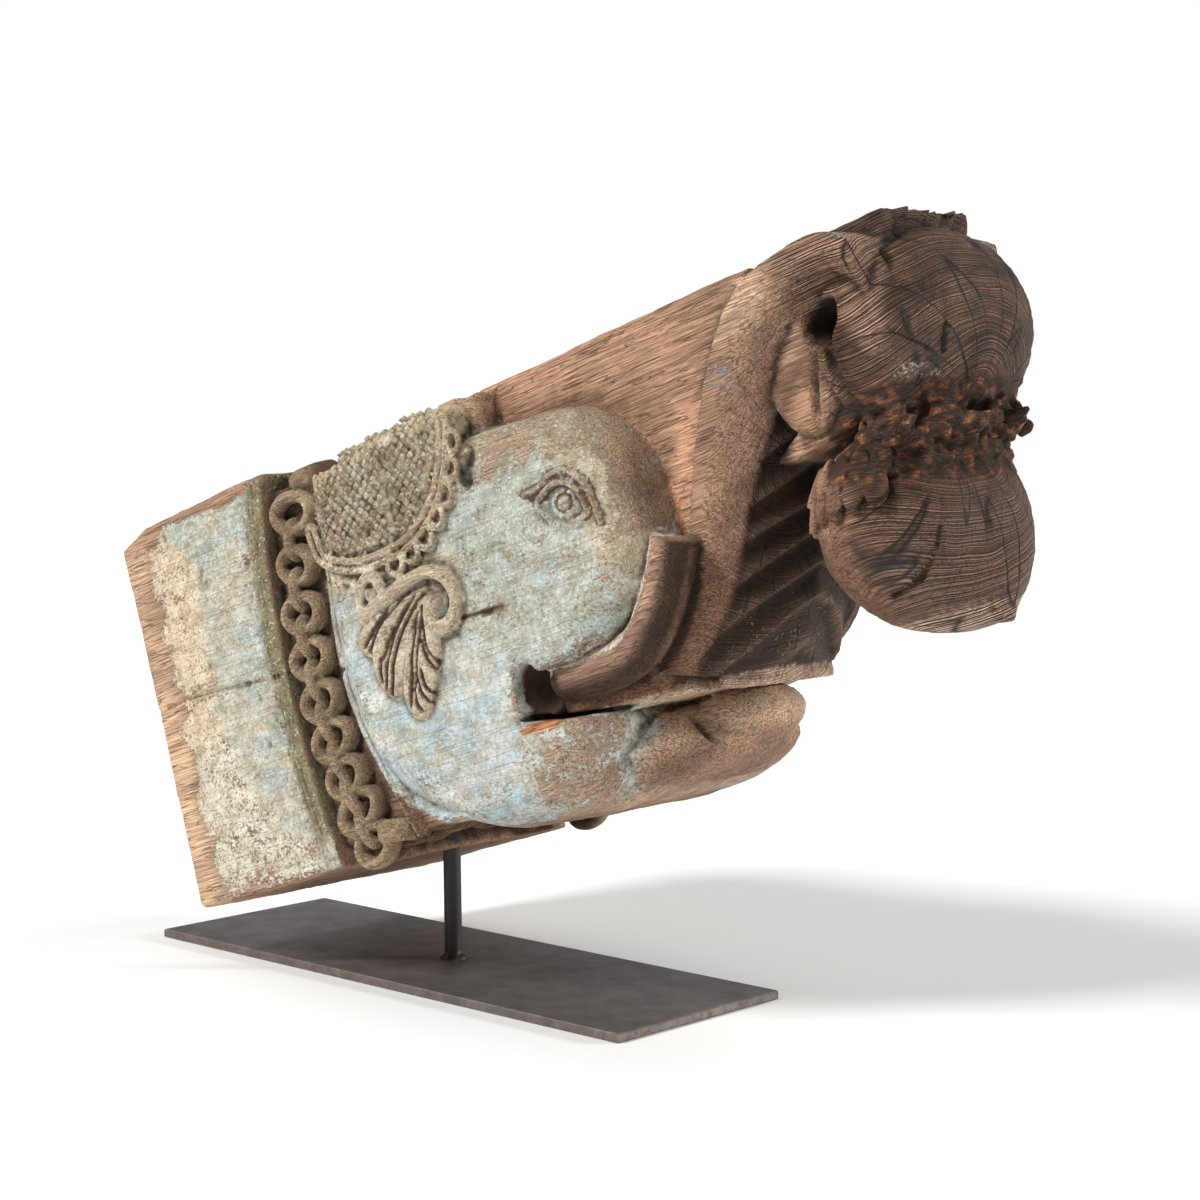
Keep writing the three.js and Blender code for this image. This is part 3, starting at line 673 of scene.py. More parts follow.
def newMesh(name, points, faces):
    mesh = bpy.data.meshes.new(name)
    mesh.vertices.add(len(points))
    mesh.vertices.foreach_set("co", np.asarray(points, np.float32).ravel())
    mesh.loops.add(faces.size)
    mesh.loops.foreach_set("vertex_index", np.asarray(faces, np.int32).ravel())
    mesh.polygons.add(len(faces))
    mesh.polygons.foreach_set("loop_start", np.arange(0, faces.size, faces.shape[1], dtype=np.int32))
    mesh.update(calc_edges=True)
    return mesh


def newObject(name, mesh):
    piece = bpy.data.objects.new(name, mesh)
    bpy.context.scene.collection.objects.link(piece)
    return piece


def frozen(piece):
    # the piece with its modifiers applied, as plain mesh
    graph = bpy.context.evaluated_depsgraph_get()
    mesh = bpy.data.meshes.new_from_object(piece.evaluated_get(graph))
    piece.modifiers.clear()
    piece.data = mesh
    return piece


def cornerNormals(points, faces):
    # mean direction of the triangles or quads round each corner
    p = [points[faces[:, k]] for k in range(faces.shape[1])]
    across = np.cross(p[2] - p[0], p[3] - p[1]) if len(p) == 4 else np.cross(p[1] - p[0], p[2] - p[0])
    normal = np.stack([
        sum(np.bincount(faces[:, k], across[:, n], len(points)) for k in range(len(p))) for n in range(3)
    ], axis=1)
    return normal / (np.linalg.norm(normal, axis=1, keepdims=True) + 1e-9)


origin = np.array([gridAlong[0], gridUp[0], -gridOut[-1]])
points, quads = skin(np.concatenate([field[:, :, ::-1], field], axis=2), origin, grid["cell"])
print("skin", len(points), "corners", len(quads), "faces")

# Weathering of the surface: soft swells, raised grain along the timber, chips on arrises and two rough breaks
wear = {
    "swell": 0.8, "swellSize": 45, "dent": 0.35, "dentSize": 9, "chip": 3, "chipFrom": 0.45,
    "grain": 0.3, "grainSize": (45, 2.6, 2.6), "torn": 1.6, "tornFine": 0.96,
}
normals = cornerNormals(points, quads)
a, u, o = points.T
lift = wear["swell"] * noise(a, u, o, wear["swellSize"], 1)
lift += wear["dent"] * noise(a, u, o, wear["dentSize"], 2)
lift += wear["grain"] * (0.5 + 1.2 * ramp(a, 430, 520)) * noise(a, u, o, wear["grainSize"], 4)
torn = ramp(a, 596, 614) * ramp(u, 112, 126) * ramp(172 - u, 0, 8)
lift += torn * (
    wear["torn"] * noise(a, u, o, (8, 4.5, 4), 23) + wear["tornFine"] * noise(a, u, o, (4, 2.4, 2.2), 24)
)
chip = np.clip(noise(a, u, o, 16, 7) - wear["chipFrom"], 0, 1) * noise(a, u, o, 5, 9)
lift -= wear["chip"] * np.abs(chip)

# Drying cracks in the front, and the long shake through block and head: breadth, depth and line in mm
cracks = [
    (1.7, 5, [(640, 258, 38), (650, 240, 45), (654, 223, 52), (657, 205, 53), (656, 188, 50), (652, 172, 45),
              (645, 162, 38), (638, 154, 29)]),
    (1.3, 3, [(668, 228, 36), (674, 211, 38), (671, 195, 40), (667, 184, 40)]),
    (1.2, 2.5, [(660, 232, 42), (664, 212, 45), (662, 190, 46), (655, 168, 38)]),
    (1.6, 4, [(604, 160, 40), (621, 156, 34), (639, 153, 29), (650, 151, 12), (656, 154, -14)]),
    (1.5, 4, [(645, 125, 36), (642, 99, 42), (632, 80, 44), (620, 70, 45), (596, 63, 45)]),
    (1.3, 3, [(656, 103, 18), (652, 85, 18), (640, 60, 2)]),
    (1.5, 4, [(540, 96, 42), (532, 84, 42), (516, 75, 43), (504, 64, 44), (476, 53, 42)]),
    (1.7, 2.2, [(-8, 140, 105), (37, 140, 105), (72, 139, 105), (105, 136, 105), (145, 134, 100)]),
    (1.5, 2.0, [(186, 124, 96), (215, 123, 102), (243, 123, 106), (318, 127, 108), (360, 124, 108)]),
]


def crackShare(places, breadth, line):
    # how deep in a crack each place lies, 1 at its bottom
    best = np.full(len(places), 1e6)
    line = np.array(line, float)
    for start, end in zip(line[:-1], line[1:]):
        run = end - start
        t = np.clip((places - start) @ run / (run @ run), 0, 1)
        best = np.minimum(best, np.linalg.norm(places - start - t[:, None] * run, axis=1))
    rough = 1 + 0.5 * noise(*places.T, 7, 15)
    wavy = best + 1.2 * noise(*places.T, 11, 16)
    return rough * np.exp(-((wavy / breadth) ** 2))


for breadth, depth, line in cracks:
    lift -= depth * crackShare(points, breadth, line)
points = points + normals * lift[:, None]


def add(tree, kind, links=None, **settings):
    # one node with its settings; each input is given a node, a socket or a value
    node = tree.nodes.new(kind)
    for name, value in settings.items():
        setattr(node, name, value)
    for socket, value in (links or {}).items():
        if isinstance(value, bpy.types.Node):
            value = next(output for output in value.outputs if output.enabled)
        if isinstance(value, bpy.types.NodeSocket):
            tree.links.new(value, node.inputs[socket])
        else:
            node.inputs[socket].default_value = value
    return node


def calc(tree, operation, *values):
    return add(tree, "ShaderNodeMath", dict(enumerate(values)), operation=operation)


def direct(tree, x=0.0, y=0.0, z=0.0):
    # a vector from three numbers
    return add(tree, "ShaderNodeCombineXYZ", {"X": x, "Y": y, "Z": z})


def newTree(name, inputs):
    # node group with a geometry in and out and named inputs
    tree = bpy.data.node_groups.new(name, "GeometryNodeTree")
    tree.interface.new_socket("Geometry", in_out="INPUT", socket_type="NodeSocketGeometry")
    kinds = {tuple: "NodeSocketVector", int: "NodeSocketInt", float: "NodeSocketFloat"}
    for label, value in inputs.items():
        socket = tree.interface.new_socket(label, in_out="INPUT", socket_type=kinds[type(value)])
        socket.default_value = value
    tree.interface.new_socket("Geometry", in_out="OUTPUT", socket_type="NodeSocketGeometry")
    return tree, add(tree, "NodeGroupInput").outputs


def endTree(tree, geometry, material):
    real = add(tree, "GeometryNodeRealizeInstances", {"Geometry": geometry})
    finished = add(tree, "GeometryNodeSetMaterial", {"Geometry": real, "Material": material})
    add(tree, "NodeGroupOutput", {"Geometry": finished})
    return tree


def rowMarks(tree, given):
    # marks at an even pitch along the given path
    path = add(tree, "GeometryNodeMeshToCurve", {"Mesh": given["Geometry"]})
    line = add(tree, "GeometryNodeResampleCurve", {"Curve": path, "Length": given["Pitch"]}, mode="LENGTH")
    return add(tree, "GeometryNodeCurveToPoints", {"Curve": line}, mode="EVALUATED").outputs


def faced(tree, outward, heading):
    # turn that brings Z outward and X along the row
    face = add(tree, "FunctionNodeAlignRotationToVector", {"Vector": outward}, axis="Z")
    return add(tree, "FunctionNodeAlignRotationToVector", {"Rotation": face, "Vector": heading},
               axis="X", pivot_axis="Z")


def tube(tree, line, sides, radius):
    profile = add(tree, "GeometryNodeCurvePrimitiveCircle", {"Resolution": sides, "Radius": radius})
    return add(tree, "GeometryNodeCurveToMesh", {"Curve": line, "Profile Curve": profile, "Fill Caps": True})


def setOn(tree, points, body, sizes, seed, turn=(0.0, 0.0, 0.0)):
    # the body on each point, a little smaller or larger
    uneven = add(tree, "FunctionNodeRandomValue", {2: sizes[0], 3: sizes[1], "Seed": seed}).outputs[1]
    return add(tree, "GeometryNodeInstanceOnPoints", {
        "Points": points, "Instance": body, "Rotation": turn, "Scale": uneven,
    })


def triangles(mesh):
    mesh.calc_loop_triangles()
    place = np.empty(len(mesh.vertices) * 3, np.float32)
    mesh.vertices.foreach_get("co", place)
    corners = np.empty(len(mesh.loop_triangles) * 3, np.int32)
    mesh.loop_triangles.foreach_get("vertices", corners)
    return place.reshape(-1, 3).astype(float), corners.reshape(-1, 3)


def grown(tree, mesh, **values):
    # runs a tree on a mesh and gives back plain points and triangles
    piece = newObject(tree.name, mesh)
    modifier = piece.modifiers.new(tree.name, "NODES")
    modifier.node_group = tree
    for item in tree.interface.items_tree:
        if item.in_out == "INPUT" and item.name in values:
            modifier[item.identifier] = values[item.name]
    result = triangles(frozen(piece).data)
    bpy.data.objects.remove(piece)
    return result


def mirrored(part):
    place, corners = part
    return place * [1, 1, -1], corners[:, ::-1]


def pathMesh(line):
    # open line of points as a mesh of edges
    mesh = bpy.data.meshes.new("path")
    mesh.from_pydata([tuple(p) for p in line], [(k, k + 1) for k in range(len(line) - 1)], [])
    return mesh


oldTeak = bpy.data.materials.new("old_teak")
oldTeak.use_nodes = True

# Chain: flat rings face on, each held to the next by a link seen edge on
chain = {
    "Ring along": 31.5, "Ring across": 41.0, "Ring bar": 8.8, "Ring depth": 15.0,
    "Link along": 31.0, "Link high": 19.0, "Link bar": 9.0, "Link lift": 1.5,
    "Sway": 0.12, "Outward": (0.0, 0.0, 1.0), "Seed": 5,
}
chainSide = {
    "out": 97, "centre": 166, "waist": 137.6, "bow": 0.0014,
    "first": -5, "last": 3, "pitch": 29.4, "stretch": 0.75,
}
chainOver = {"up": 254, "along": 186, "half": 80, "count": 6}
chainUnder = {"up": 13, "start": 193, "forward": 76, "reach": 96, "half": 88, "count": 8}


def chainTree():
    # rings stand on the corners of the given path, links on its edges
    tree, given = newTree("chain_links", chain)
    path = given["Geometry"]
    ends = add(tree, "GeometryNodeInputMeshEdgeVertices").outputs
    run = add(tree, "ShaderNodeVectorMath", {
        0: ends["Position 2"], 1: ends["Position 1"],
    }, operation="SUBTRACT")
    edges = add(tree, "GeometryNodeStoreNamedAttribute", {
        "Geometry": path, "Name": "run", "Value": run,
    }, data_type="FLOAT_VECTOR", domain="EDGE")
    between = add(tree, "GeometryNodeMeshToPoints", {"Mesh": edges}, mode="EDGES")
    kept = add(tree, "GeometryNodeInputNamedAttribute", {"Name": "run"}, data_type="FLOAT_VECTOR").outputs[0]
    curve = add(tree, "GeometryNodeMeshToCurve", {"Mesh": path})
    marks = add(tree, "GeometryNodeCurveToPoints", {"Curve": curve}, mode="EVALUATED").outputs
    deep = calc(tree, "DIVIDE", given["Ring depth"], given["Ring bar"])
    laid = {"Scale": direct(tree, 1.0, 1.0, deep)}
    stood = {"Translation": direct(tree, z=given["Link lift"]), "Rotation": (math.pi / 2, 0, 0)}
    rows = []
    for long, wide, bar, places, heading, pose in (
        ("Ring along", "Ring across", "Ring bar", marks["Points"], marks["Tangent"], laid),
        ("Link along", "Link high", "Link bar", between, kept, stood),
    ):
        inner = [calc(tree, "SUBTRACT", given[size], given[bar]) for size in (long, wide)]
        halves = [calc(tree, "MULTIPLY", size, 0.5) for size in inner]
        ring = add(tree, "GeometryNodeCurvePrimitiveCircle", {"Resolution": 24, "Radius": 1.0})
        ring = add(tree, "GeometryNodeTransform", {"Geometry": ring, "Scale": direct(tree, *halves, 1.0)})
        body = tube(tree, ring, 10, calc(tree, "MULTIPLY", given[bar], 0.5))
        body = add(tree, "GeometryNodeTransform", {"Geometry": body, **pose})
        lie = faced(tree, given["Outward"], heading)
        sway = calc(tree, "MULTIPLY", given["Sway"], -1.0)
        lean = add(tree, "FunctionNodeRandomValue", {
            2: sway, 3: given["Sway"], "Seed": given["Seed"],
        }).outputs[1]
        twist = add(tree, "FunctionNodeRotateRotation", {
            "Rotation": lie, "Rotate By": direct(tree, lean, lean, lean),
        }, rotation_space="LOCAL")
        rows.append(setOn(tree, places, body, (0.93, 1.05), given["Seed"], twist))
    both = add(tree, "GeometryNodeJoinGeometry", {"Geometry": rows[0]})
    tree.links.new(rows[1].outputs[0], both.inputs["Geometry"])
    return endTree(tree, both, oldTeak)


def chainLine(along, up, out):
    return np.stack(np.broadcast_arrays(along, up, out), axis=1)


chainLinks = chainTree()
ringNumber = np.arange(chainSide["first"], chainSide["last"] + 1)
ringUp = chainSide["waist"] + chainSide["pitch"] * ringNumber + chainSide["stretch"] * ringNumber**2
ringAlong = chainSide["centre"] + chainSide["bow"] * (ringUp - chainSide["waist"]) ** 2
overOut, underOut = (np.linspace(-row["half"], row["half"], row["count"]) for row in (chainOver, chainUnder))
underAlong = chainUnder["start"] + chainUnder["forward"] * (1 - (underOut / chainUnder["reach"]) ** 2)
sidePath = chainLine(ringAlong, ringUp, chainSide["out"])
overPath = chainLine(chainOver["along"], chainOver["up"], overOut)
underPath = chainLine(underAlong, chainUnder["up"], underOut)
parts = [grown(chainLinks, pathMesh(sidePath), Outward=(0, 0, 1))]
parts.append(mirrored(parts[0]))
parts.append(grown(chainLinks, pathMesh(overPath), Outward=(0, 1, 0)))
parts.append(grown(chainLinks, pathMesh(underPath), Outward=(0, -1, 0), Seed=9))
print("chain made")

# Diamonds of the cap: small pyramids on a turned grid, kept where the cushion lies under them
diamonds = {
    "Pitch": 5.4, "Spread": 0.69, "Height": 3.6, "Sunk": 2.5, "Turn": 0.72,
    "Middle": (276.0, 220.0, 130.0), "Rows": 36,
}
capField = {
    "along": (200, 352), "up": (176, 262), "cell": 4, "inset": 2, "border": 7, "sink": 0.6,
    "bare": 283, "bareHalf": 3.5, "bareSlope": 0.05, "bareFrom": 220, "bareTop": 244,
}


def diamondTree():
    tree, given = newTree("cap_diamonds", diamonds)
    span = calc(tree, "MULTIPLY", given["Pitch"], given["Rows"])
    sheet = add(tree, "GeometryNodeMeshGrid", {
        "Size X": span, "Size Y": span, "Vertices X": given["Rows"], "Vertices Y": given["Rows"],
    })
    sheet = add(tree, "GeometryNodeTransform", {
        "Geometry": sheet, "Translation": given["Middle"], "Rotation": direct(tree, z=given["Turn"]),
    })
    marks = add(tree, "GeometryNodeMeshToPoints", {"Mesh": sheet})
    ray = add(tree, "GeometryNodeRaycast", {
        "Target Geometry": given["Geometry"], "Ray Direction": (0, 0, -1), "Ray Length": 60.0,
    }).outputs
    missed = add(tree, "FunctionNodeBooleanMath", {0: ray["Is Hit"]}, operation="NOT")
    kept = add(tree, "GeometryNodeDeleteGeometry", {"Geometry": marks, "Selection": missed})
    placed = add(tree, "GeometryNodeSetPosition", {"Geometry": kept, "Position": ray["Hit Position"]})
    radius = calc(tree, "MULTIPLY", given["Pitch"], given["Spread"])
    peak = add(tree, "GeometryNodeMeshCone", {
        "Vertices": 4, "Radius Top": 0.3, "Radius Bottom": radius,
        "Depth": calc(tree, "ADD", given["Height"], given["Sunk"]),
    })
    peak = add(tree, "GeometryNodeTransform", {
        "Geometry": peak, "Translation": direct(tree, z=calc(tree, "MULTIPLY", given["Sunk"], -1.0)),
        "Rotation": direct(tree, z=calc(tree, "ADD", given["Turn"], math.pi / 4)),
    })
    return endTree(tree, setOn(tree, placed, peak, (0.85, 1.1), 3), oldTeak)


def capPatch():
    # the field of diamonds: the cap's face inside its border, in two parts with a bare strip between
    cell, half = capField["cell"], capField["cell"] / 2
    corners = []
    for a in range(*capField["along"], cell):
        for u in range(*capField["up"], cell):
            inner = outlineDistance(np.array(float(a)), np.array(float(u)), capOutline)
            border, side = lineDistance(np.array(a), np.array(u), borderLine)
            middle = capField["bare"] + capField["bareSlope"] * (u - capField["bareFrom"])
            bare = abs(a - middle) < capField["bareHalf"] and u < capField["bareTop"]
            if inner < -capField["inset"] and not bare and border > capField["border"] and side > 0:
                sink = cap["depth"] * (1 - math.sqrt(1 - max(0, 1 + inner / cap["inset"]) ** 2))
                rise = cap["half"] - capField["sink"] * sink
                for x, y in ((-half, -half), (half, -half), (half, half), (-half, half)):
                    corners.append((a + x, u + y, rise))
    mesh = bpy.data.meshes.new("cap_patch")
    mesh.from_pydata(corners, [], [tuple(range(k, k + 4)) for k in range(0, len(corners), 4)])
    return mesh


parts.append(grown(diamondTree(), capPatch()))
parts.append(mirrored(parts[-1]))

# Scallops: half rings along the outer edge of the cap's border
scallops = {"Pitch": 14.5, "Radius": 6.8, "Bar": 2.3, "Outward": (0.0, 0.0, 1.0), "Seed": 4}
scallopEdge = {"from": 0.5, "to": 0.97, "off": 7}


def scallopTree():
    tree, given = newTree("cap_scallops", scallops)
    marks = rowMarks(tree, given)
    arc = add(tree, "GeometryNodeCurveArc", {
        "Resolution": 12, "Radius": given["Radius"],
        "Start Angle": math.pi - 0.25, "Sweep Angle": math.pi + 0.5,
    })
    lie = faced(tree, given["Outward"], marks["Tangent"])
    body = tube(tree, arc, 8, given["Bar"])
    return endTree(tree, setOn(tree, marks["Points"], body, (0.9, 1.1), given["Seed"], lie), oldTeak)


def scallopPath():
    # part of the border's line moved to its right
    heading = np.gradient(borderLine, axis=0)
    heading /= np.hypot(*heading.T)[:, None]
    moved = borderLine + np.stack([heading[:, 1], -heading[:, 0]], axis=1) * scallopEdge["off"]
    first, last = (int(scallopEdge[end] * len(borderLine)) for end in ("from", "to"))
    return [(x, y, cap["half"]) for x, y in moved[first:last]]


parts.append(grown(scallopTree(), pathMesh(scallopPath())))
parts.append(mirrored(parts[-1]))

# Petals: two rows of round tongues hanging from the calyx, lost where the front of the bud has split away
petals = {
    "Width": 13.5, "Length": 22.0, "Thick": 3.4, "Pitch": 14.0, "Centre": (*bud["centre"], 0.0), "Seed": 2,
}
petalRows = [{"lean": 58, "reach": 64.5, "spread": 1.95}, {"lean": 72, "reach": 63, "spread": 1.85}]


def petalTree():
    tree, given = newTree("calyx_petals", petals)
    marks = rowMarks(tree, given)
    outward = add(tree, "ShaderNodeVectorMath", {
        0: add(tree, "GeometryNodeInputPosition"), 1: given["Centre"],
    }, operation="SUBTRACT")
    sizes = [calc(tree, "MULTIPLY", given[name], 0.5) for name in ("Width", "Length", "Thick")]
    tongue = add(tree, "GeometryNodeMeshCylinder", {"Vertices": 20, "Radius": 1.0, "Depth": 2.0})
    tongue = add(tree, "GeometryNodeTransform", {"Geometry": tongue, "Scale": direct(tree, *sizes)})
    lie = faced(tree, outward, marks["Tangent"])
    return endTree(tree, setOn(tree, marks["Points"], tongue, (0.85, 1.1), given["Seed"], lie), oldTeak)


calyxPetals = petalTree()
for row in petalRows:
    lean = math.radians(row["lean"])
    around = np.linspace(-row["spread"], row["spread"], 60)
    ring = np.stack([
        bud["centre"][0] - row["reach"] * math.sin(lean) * np.cos(around),
        bud["centre"][1] + row["reach"] * math.cos(lean) + 0 * around,
        row["reach"] * math.sin(lean) * np.sin(around),
    ], axis=1)
    parts.append(grown(calyxPetals, pathMesh(ring), Seed=int(row["lean"])))
print("diamonds, scallops and petals made")

# One skin over the carving and all that is set on it, thinned more where the timber is plain
skinning = {
    "voxel": 0.95, "faces": 195000,
    "plainWeight": 1.0, "carvedWeight": 0.5, "bias": 1.5, "front": 560, "trunk": (450, 62),
}
# low along, high along, low up, high up and least distance out of what is finely carved on the sides
carvedZones = [(138, 352, -20, 290, 86), (385, 462, 144, 198, 90), (340, 500, 40, 140, 60)]


def joinedMesh(name, pieces):
    places, faces, count = [], [], 0
    for place, corners in pieces:
        places.append(place)
        faces.append(corners + count)
        count += len(place)
    return newMesh(name, np.vstack(places), np.vstack(faces))


def largestBody(points, faces):
    # the largest connected body; crumbs that float free are left out
    label = np.arange(len(points))
    while True:
        lower = label.copy()
        for k in range(3):
            np.minimum.at(lower, faces[:, k], label[faces].min(axis=1))
        lower = lower[lower]
        if np.array_equal(lower, label):
            break
        label = lower
    kept = faces[label[faces[:, 0]] == np.bincount(label[faces[:, 0]]).argmax()]
    used, kept = np.unique(kept, return_inverse=True)
    return points[used], kept.reshape(-1, 3)


timberTriangles = np.vstack([quads[:, [0, 1, 2]], quads[:, [0, 2, 3]]])
corbel = newObject("carved_timber", joinedMesh("carved_timber", [(points, timberTriangles), *parts]))
remesh = corbel.modifiers.new("skin", "REMESH")
remesh.mode = "VOXEL"
remesh.voxel_size = skinning["voxel"]
frozen(corbel)
print("skinned", len(corbel.data.polygons))
place, faces = triangles(corbel.data)
along, up, out = place.T
side = np.abs(out)
carved = (along > skinning["front"]) | (along > skinning["trunk"][0]) & (side < skinning["trunk"][1])
for back, front, low, high, least in carvedZones:
    carved |= (along > back) & (along < front) & (up > low) & (up < high) & (side > least)
density = corbel.vertex_groups.new(name="plain")
density.add(np.nonzero(~carved)[0].tolist(), skinning["plainWeight"], "REPLACE")
density.add(np.nonzero(carved)[0].tolist(), skinning["carvedWeight"], "REPLACE")
thin = corbel.modifiers.new("thin", "DECIMATE")
thin.vertex_group = density.name
thin.vertex_group_factor = skinning["bias"]
thin.ratio = min(1, skinning["faces"] / (2 * len(corbel.data.polygons)))
corbel.data = newMesh("carved_timber", *largestBody(*triangles(frozen(corbel).data)))
corbel.vertex_groups.clear()
print("thinned to", len(corbel.data.polygons), "faces")


# Tones laid over the timber, kept as attributes: wood, paint, paint cover, and dirt with painted shade in the
# hollows
def linear(code):
    # sRGB hex to linear colour
    shares = np.array([int(code[k:k + 2], 16) for k in (1, 3, 5)]) / 255
    return np.where(shares <= 0.04045, shares / 12.92, ((shares + 0.055) / 1.055) ** 2.4)


def evened(values, pairs, times):
    # each corner moved to the mean of its neighbours, a number of times
    count = len(values)
    ends = np.concatenate([pairs[:, 0], pairs[:, 1]])
    others = np.concatenate([pairs[:, 1], pairs[:, 0]])
    share = np.bincount(ends, minlength=count)[:, None] + 1e-9
    for _ in range(times):
        values = np.stack([np.bincount(ends, v[others], count) for v in values.T], axis=1) / share
    return values


place, faces = triangles(corbel.data)
pairs = np.empty(len(corbel.data.edges) * 2, np.int32)
corbel.data.edges.foreach_get("vertices", pairs)
pairs = pairs.reshape(-1, 2)
normal = cornerNormals(place, faces)
fineHollow = np.sum((evened(place, pairs, 4) - place) * normal, axis=1)
wideHollow = np.sum((evened(place, pairs, 30) - place) * normal, axis=1)
along, up, out = place.T
side = np.abs(out)


def near(line):
    return lineDistance(along, up, line)[0]


def within(outline, low, high):
    return ramp(-outlineDistance(along, up, outline), low, high)


def cloudy(size, seed):
    return noise(along, up, out, size, seed)


def spot(centre, sizes, reach, edge):
    # an oval on the side with a soft edge
    oval = np.hypot((along - centre[0]) / sizes[0], (up - centre[1]) / sizes[1])
    return ramp(reach - oval, 0, edge)


# Regions of the timber, from 0 to 1; ragged places give them uneven edges
facing = ramp(np.abs(normal[:, 2]), 0.3, 0.6)
ragged = along + 8 * cloudy((30, 16, 30), 12) + 3 * cloudy(6, 13)
raggedUp = up + 7 * cloudy((26, 20, 30), 14)
blotch = cloudy((24, 11, 20), 18) + 0.8 * cloudy(6, 19)
onHead = within(headOutline, -2, 3) * ramp(side, 60, 70)
onCap = within(capOutline, -17, -14) * ramp(side, 84, 92)
onTrunk = within(trunkOutline, -10, -2) * (side < 72) * (up > 40)
onFolds = onTrunk * ramp(np.interp(up, folds["edgeUp"], folds["edgeOut"]) + 4 - side, 0, 5)
onBoard = (along > 340) * within(boardOutline, -3, 0) * (side < 67) * (1 - onTrunk)
fromCollar = along - collarEdge(up)
onBlock = 1.0 * (fromCollar < 0)
onChannel = np.clip((1 - onBlock) * (1 - onHead) * (along < 300), 0, 1) * (1 - onCap)
onStep = onChannel * ramp(-lineDistance(along, up, step["edge"])[1], 0, 1) * ramp(side, 90, 95)
onChain = onChannel * ramp(side, 93, 97) * (along < np.interp(up, (0, 130, 260), (222, 190, 204)))
earGap = np.minimum.reduce([outlineDistance(along, up, outline) for outline in earLeaves] + [
    near(scroll["line"]) - scroll["bar"] for scroll in scrolls
])
onEar = ramp(2 - earGap, 0, 2) * (side > 100)
tuskGap, tuskSide = lineDistance(along, up, tuskLine)
cheekward = tuskGap * tuskSide
onTusk = ramp(tusk["radius"] + 1 - tuskGap, 0, 2) * (side > 69) * (side < 101) * (pastCut(along, up) < 2)
onJaw = 1.0 * (along > 345) * (up < 50)
underTusk = ramp(-cheekward, 6, 10) * ramp(118 - up, 0, 20) * (up > 51) * (along > 376) * (1 - onTrunk)
onPocket = spot((366, 67), (13, 18), 1.4, 0.3) * (side < 99)
foldPart = ramp(foldHeight(along, up, side), -1.5, 4)
lidLines = [stroke(lid["line"]) for lid in lids]
lidGap = np.minimum.reduce([near(line) for line in lidLines])
irisGap = np.abs(np.hypot(along - eye["centre"][0], up - eye["centre"][1]) - eye["iris"])
onLids = ramp(1.1 - np.minimum(np.abs(lidGap - 2.6), irisGap), 0, 0.9) * (side > 98)
onLids = onLids * within(lidLines[-1], -4, -2)
onFront = ramp(along, 556, 572) * (1 - onTrunk)
onTip = ramp(-normal[:, 0], 0.45, 0.6) * (along > 546) * (along < 574) * (side > 36) * (side < 52)
onTip = onTip * ramp(216 - raggedUp, 0, 8) * ramp(up, 164, 170)
onCuts = ramp(2 - np.minimum.reduce([near(line) for line in leafCuts]), 0, 1) * (side > 108) * onEar
onBreak = spot((622, 152), (44, 22), 1.25, 0.2) * (along > 578)
onBreak = np.maximum(onBreak, ramp(ragged, 598, 618) * ramp(raggedUp, 112, 128) * ramp(172 - up, 0, 8))
onShell = onFront * ramp(blotch, -0.3, 0.5)
freshPatch = np.array([
    (462, 134), (474, 160), (483, 184), (495, 207), (520, 206), (504, 168), (491, 134),
], float)
onFresh = within(freshPatch, -1.5, 1) * (side > 60) * (side < 67)
onChip = spot((368, 49), (19, 3), 1.2, 0.5) * (side > 78)
backGap = near(trunkBack)
onCrack = ramp(np.maximum.reduce([
    crackShare(np.stack([along, up, side], axis=1), breadth, line) for breadth, _, line in cracks
]), 0.25, 0.8)

# Bare wood: pale sawn end, ruddy board, brown channel darkened as painted shade, dark weathered front, fresh
# breaks
woodLayers = [
    ("#cdb096", ramp(34 - ragged, 0, 20)),
    ("#a98b76", onBlock * ramp(up, 246, 262)),
    ("#b5927b", onBoard),
    ("#8d7765", onBoard * ramp(up, 246, 264) * ramp(ragged, 500, 560)),
    # brown channel darkened as painted shade behind the chain; the chain lighter, partly a painted highlight
    ("#6c5644", onChannel),
    ("#98826c", onChain),
    ("#9d8b74", onStep),
    ("#c6b498", onCap),
    ("#b09a85", onHead),
    # dark bare wood and painted shade on the head's front margin, where it turns away
    ("#5e4632", onHead * ramp(along + 0.25 * up, 502, 522)),
    ("#cbbba4", onEar),
    ("#3c2f24", onCuts),
    ("#ab8c78", onTrunk),
    ("#8a6b58", onTrunk * ramp(150 - up, 0, 60)),
    ("#7d5f4d", onTrunk * ramp(backGap, 26, 50) * ramp(215 - up, 0, 30)),
    ("#cdae95", onTrunk * ramp(up, 218, 240) * ramp(600 - along, 0, 30)),
    # dark wood in the trunk's folds with painted shade in the sunk courses; the proud edges lighter
    ("#3a2a20", onFolds),
    ("#7b6251", onFolds * foldPart),
    ("#5c4231", onFront),
    ("#5f4838", onFront * ramp(170 - up, 0, 20)),
    ("#b3917a", onFront * ramp(610 - along, 0, 26)),
    ("#866650", onShell * 0.6),
    ("#4a3529", onBreak),
    ("#9a6544", onBreak * ramp(cloudy((5, 3, 3), 27), 0.15, 0.5)),
    ("#7d604f", underTusk),
    ("#ab8d7b", onTusk),
    # painted shade: the tusk's face away from the cheek, painted dark brown
    ("#48352a", onTusk * ramp(-cheekward, -1, 9)),
    ("#bfa691", onJaw * (1 - onHead)),
    ("#957b68", onJaw * ramp(22 - raggedUp, 0, 14) * ramp(ragged, 372, 410)),
    ("#d3a78c", onFresh),
    ("#655040", onLids),
    ("#4d3a2d", onPocket),
    ("#33271e", onCrack),
    ("#b87a56", onChip),
]
wood = np.tile(linear("#a98d78"), (len(place), 1))
for code, mask in woodLayers:
    wood += (linear(code) - wood) * np.clip(mask, 0, 1)[:, None]

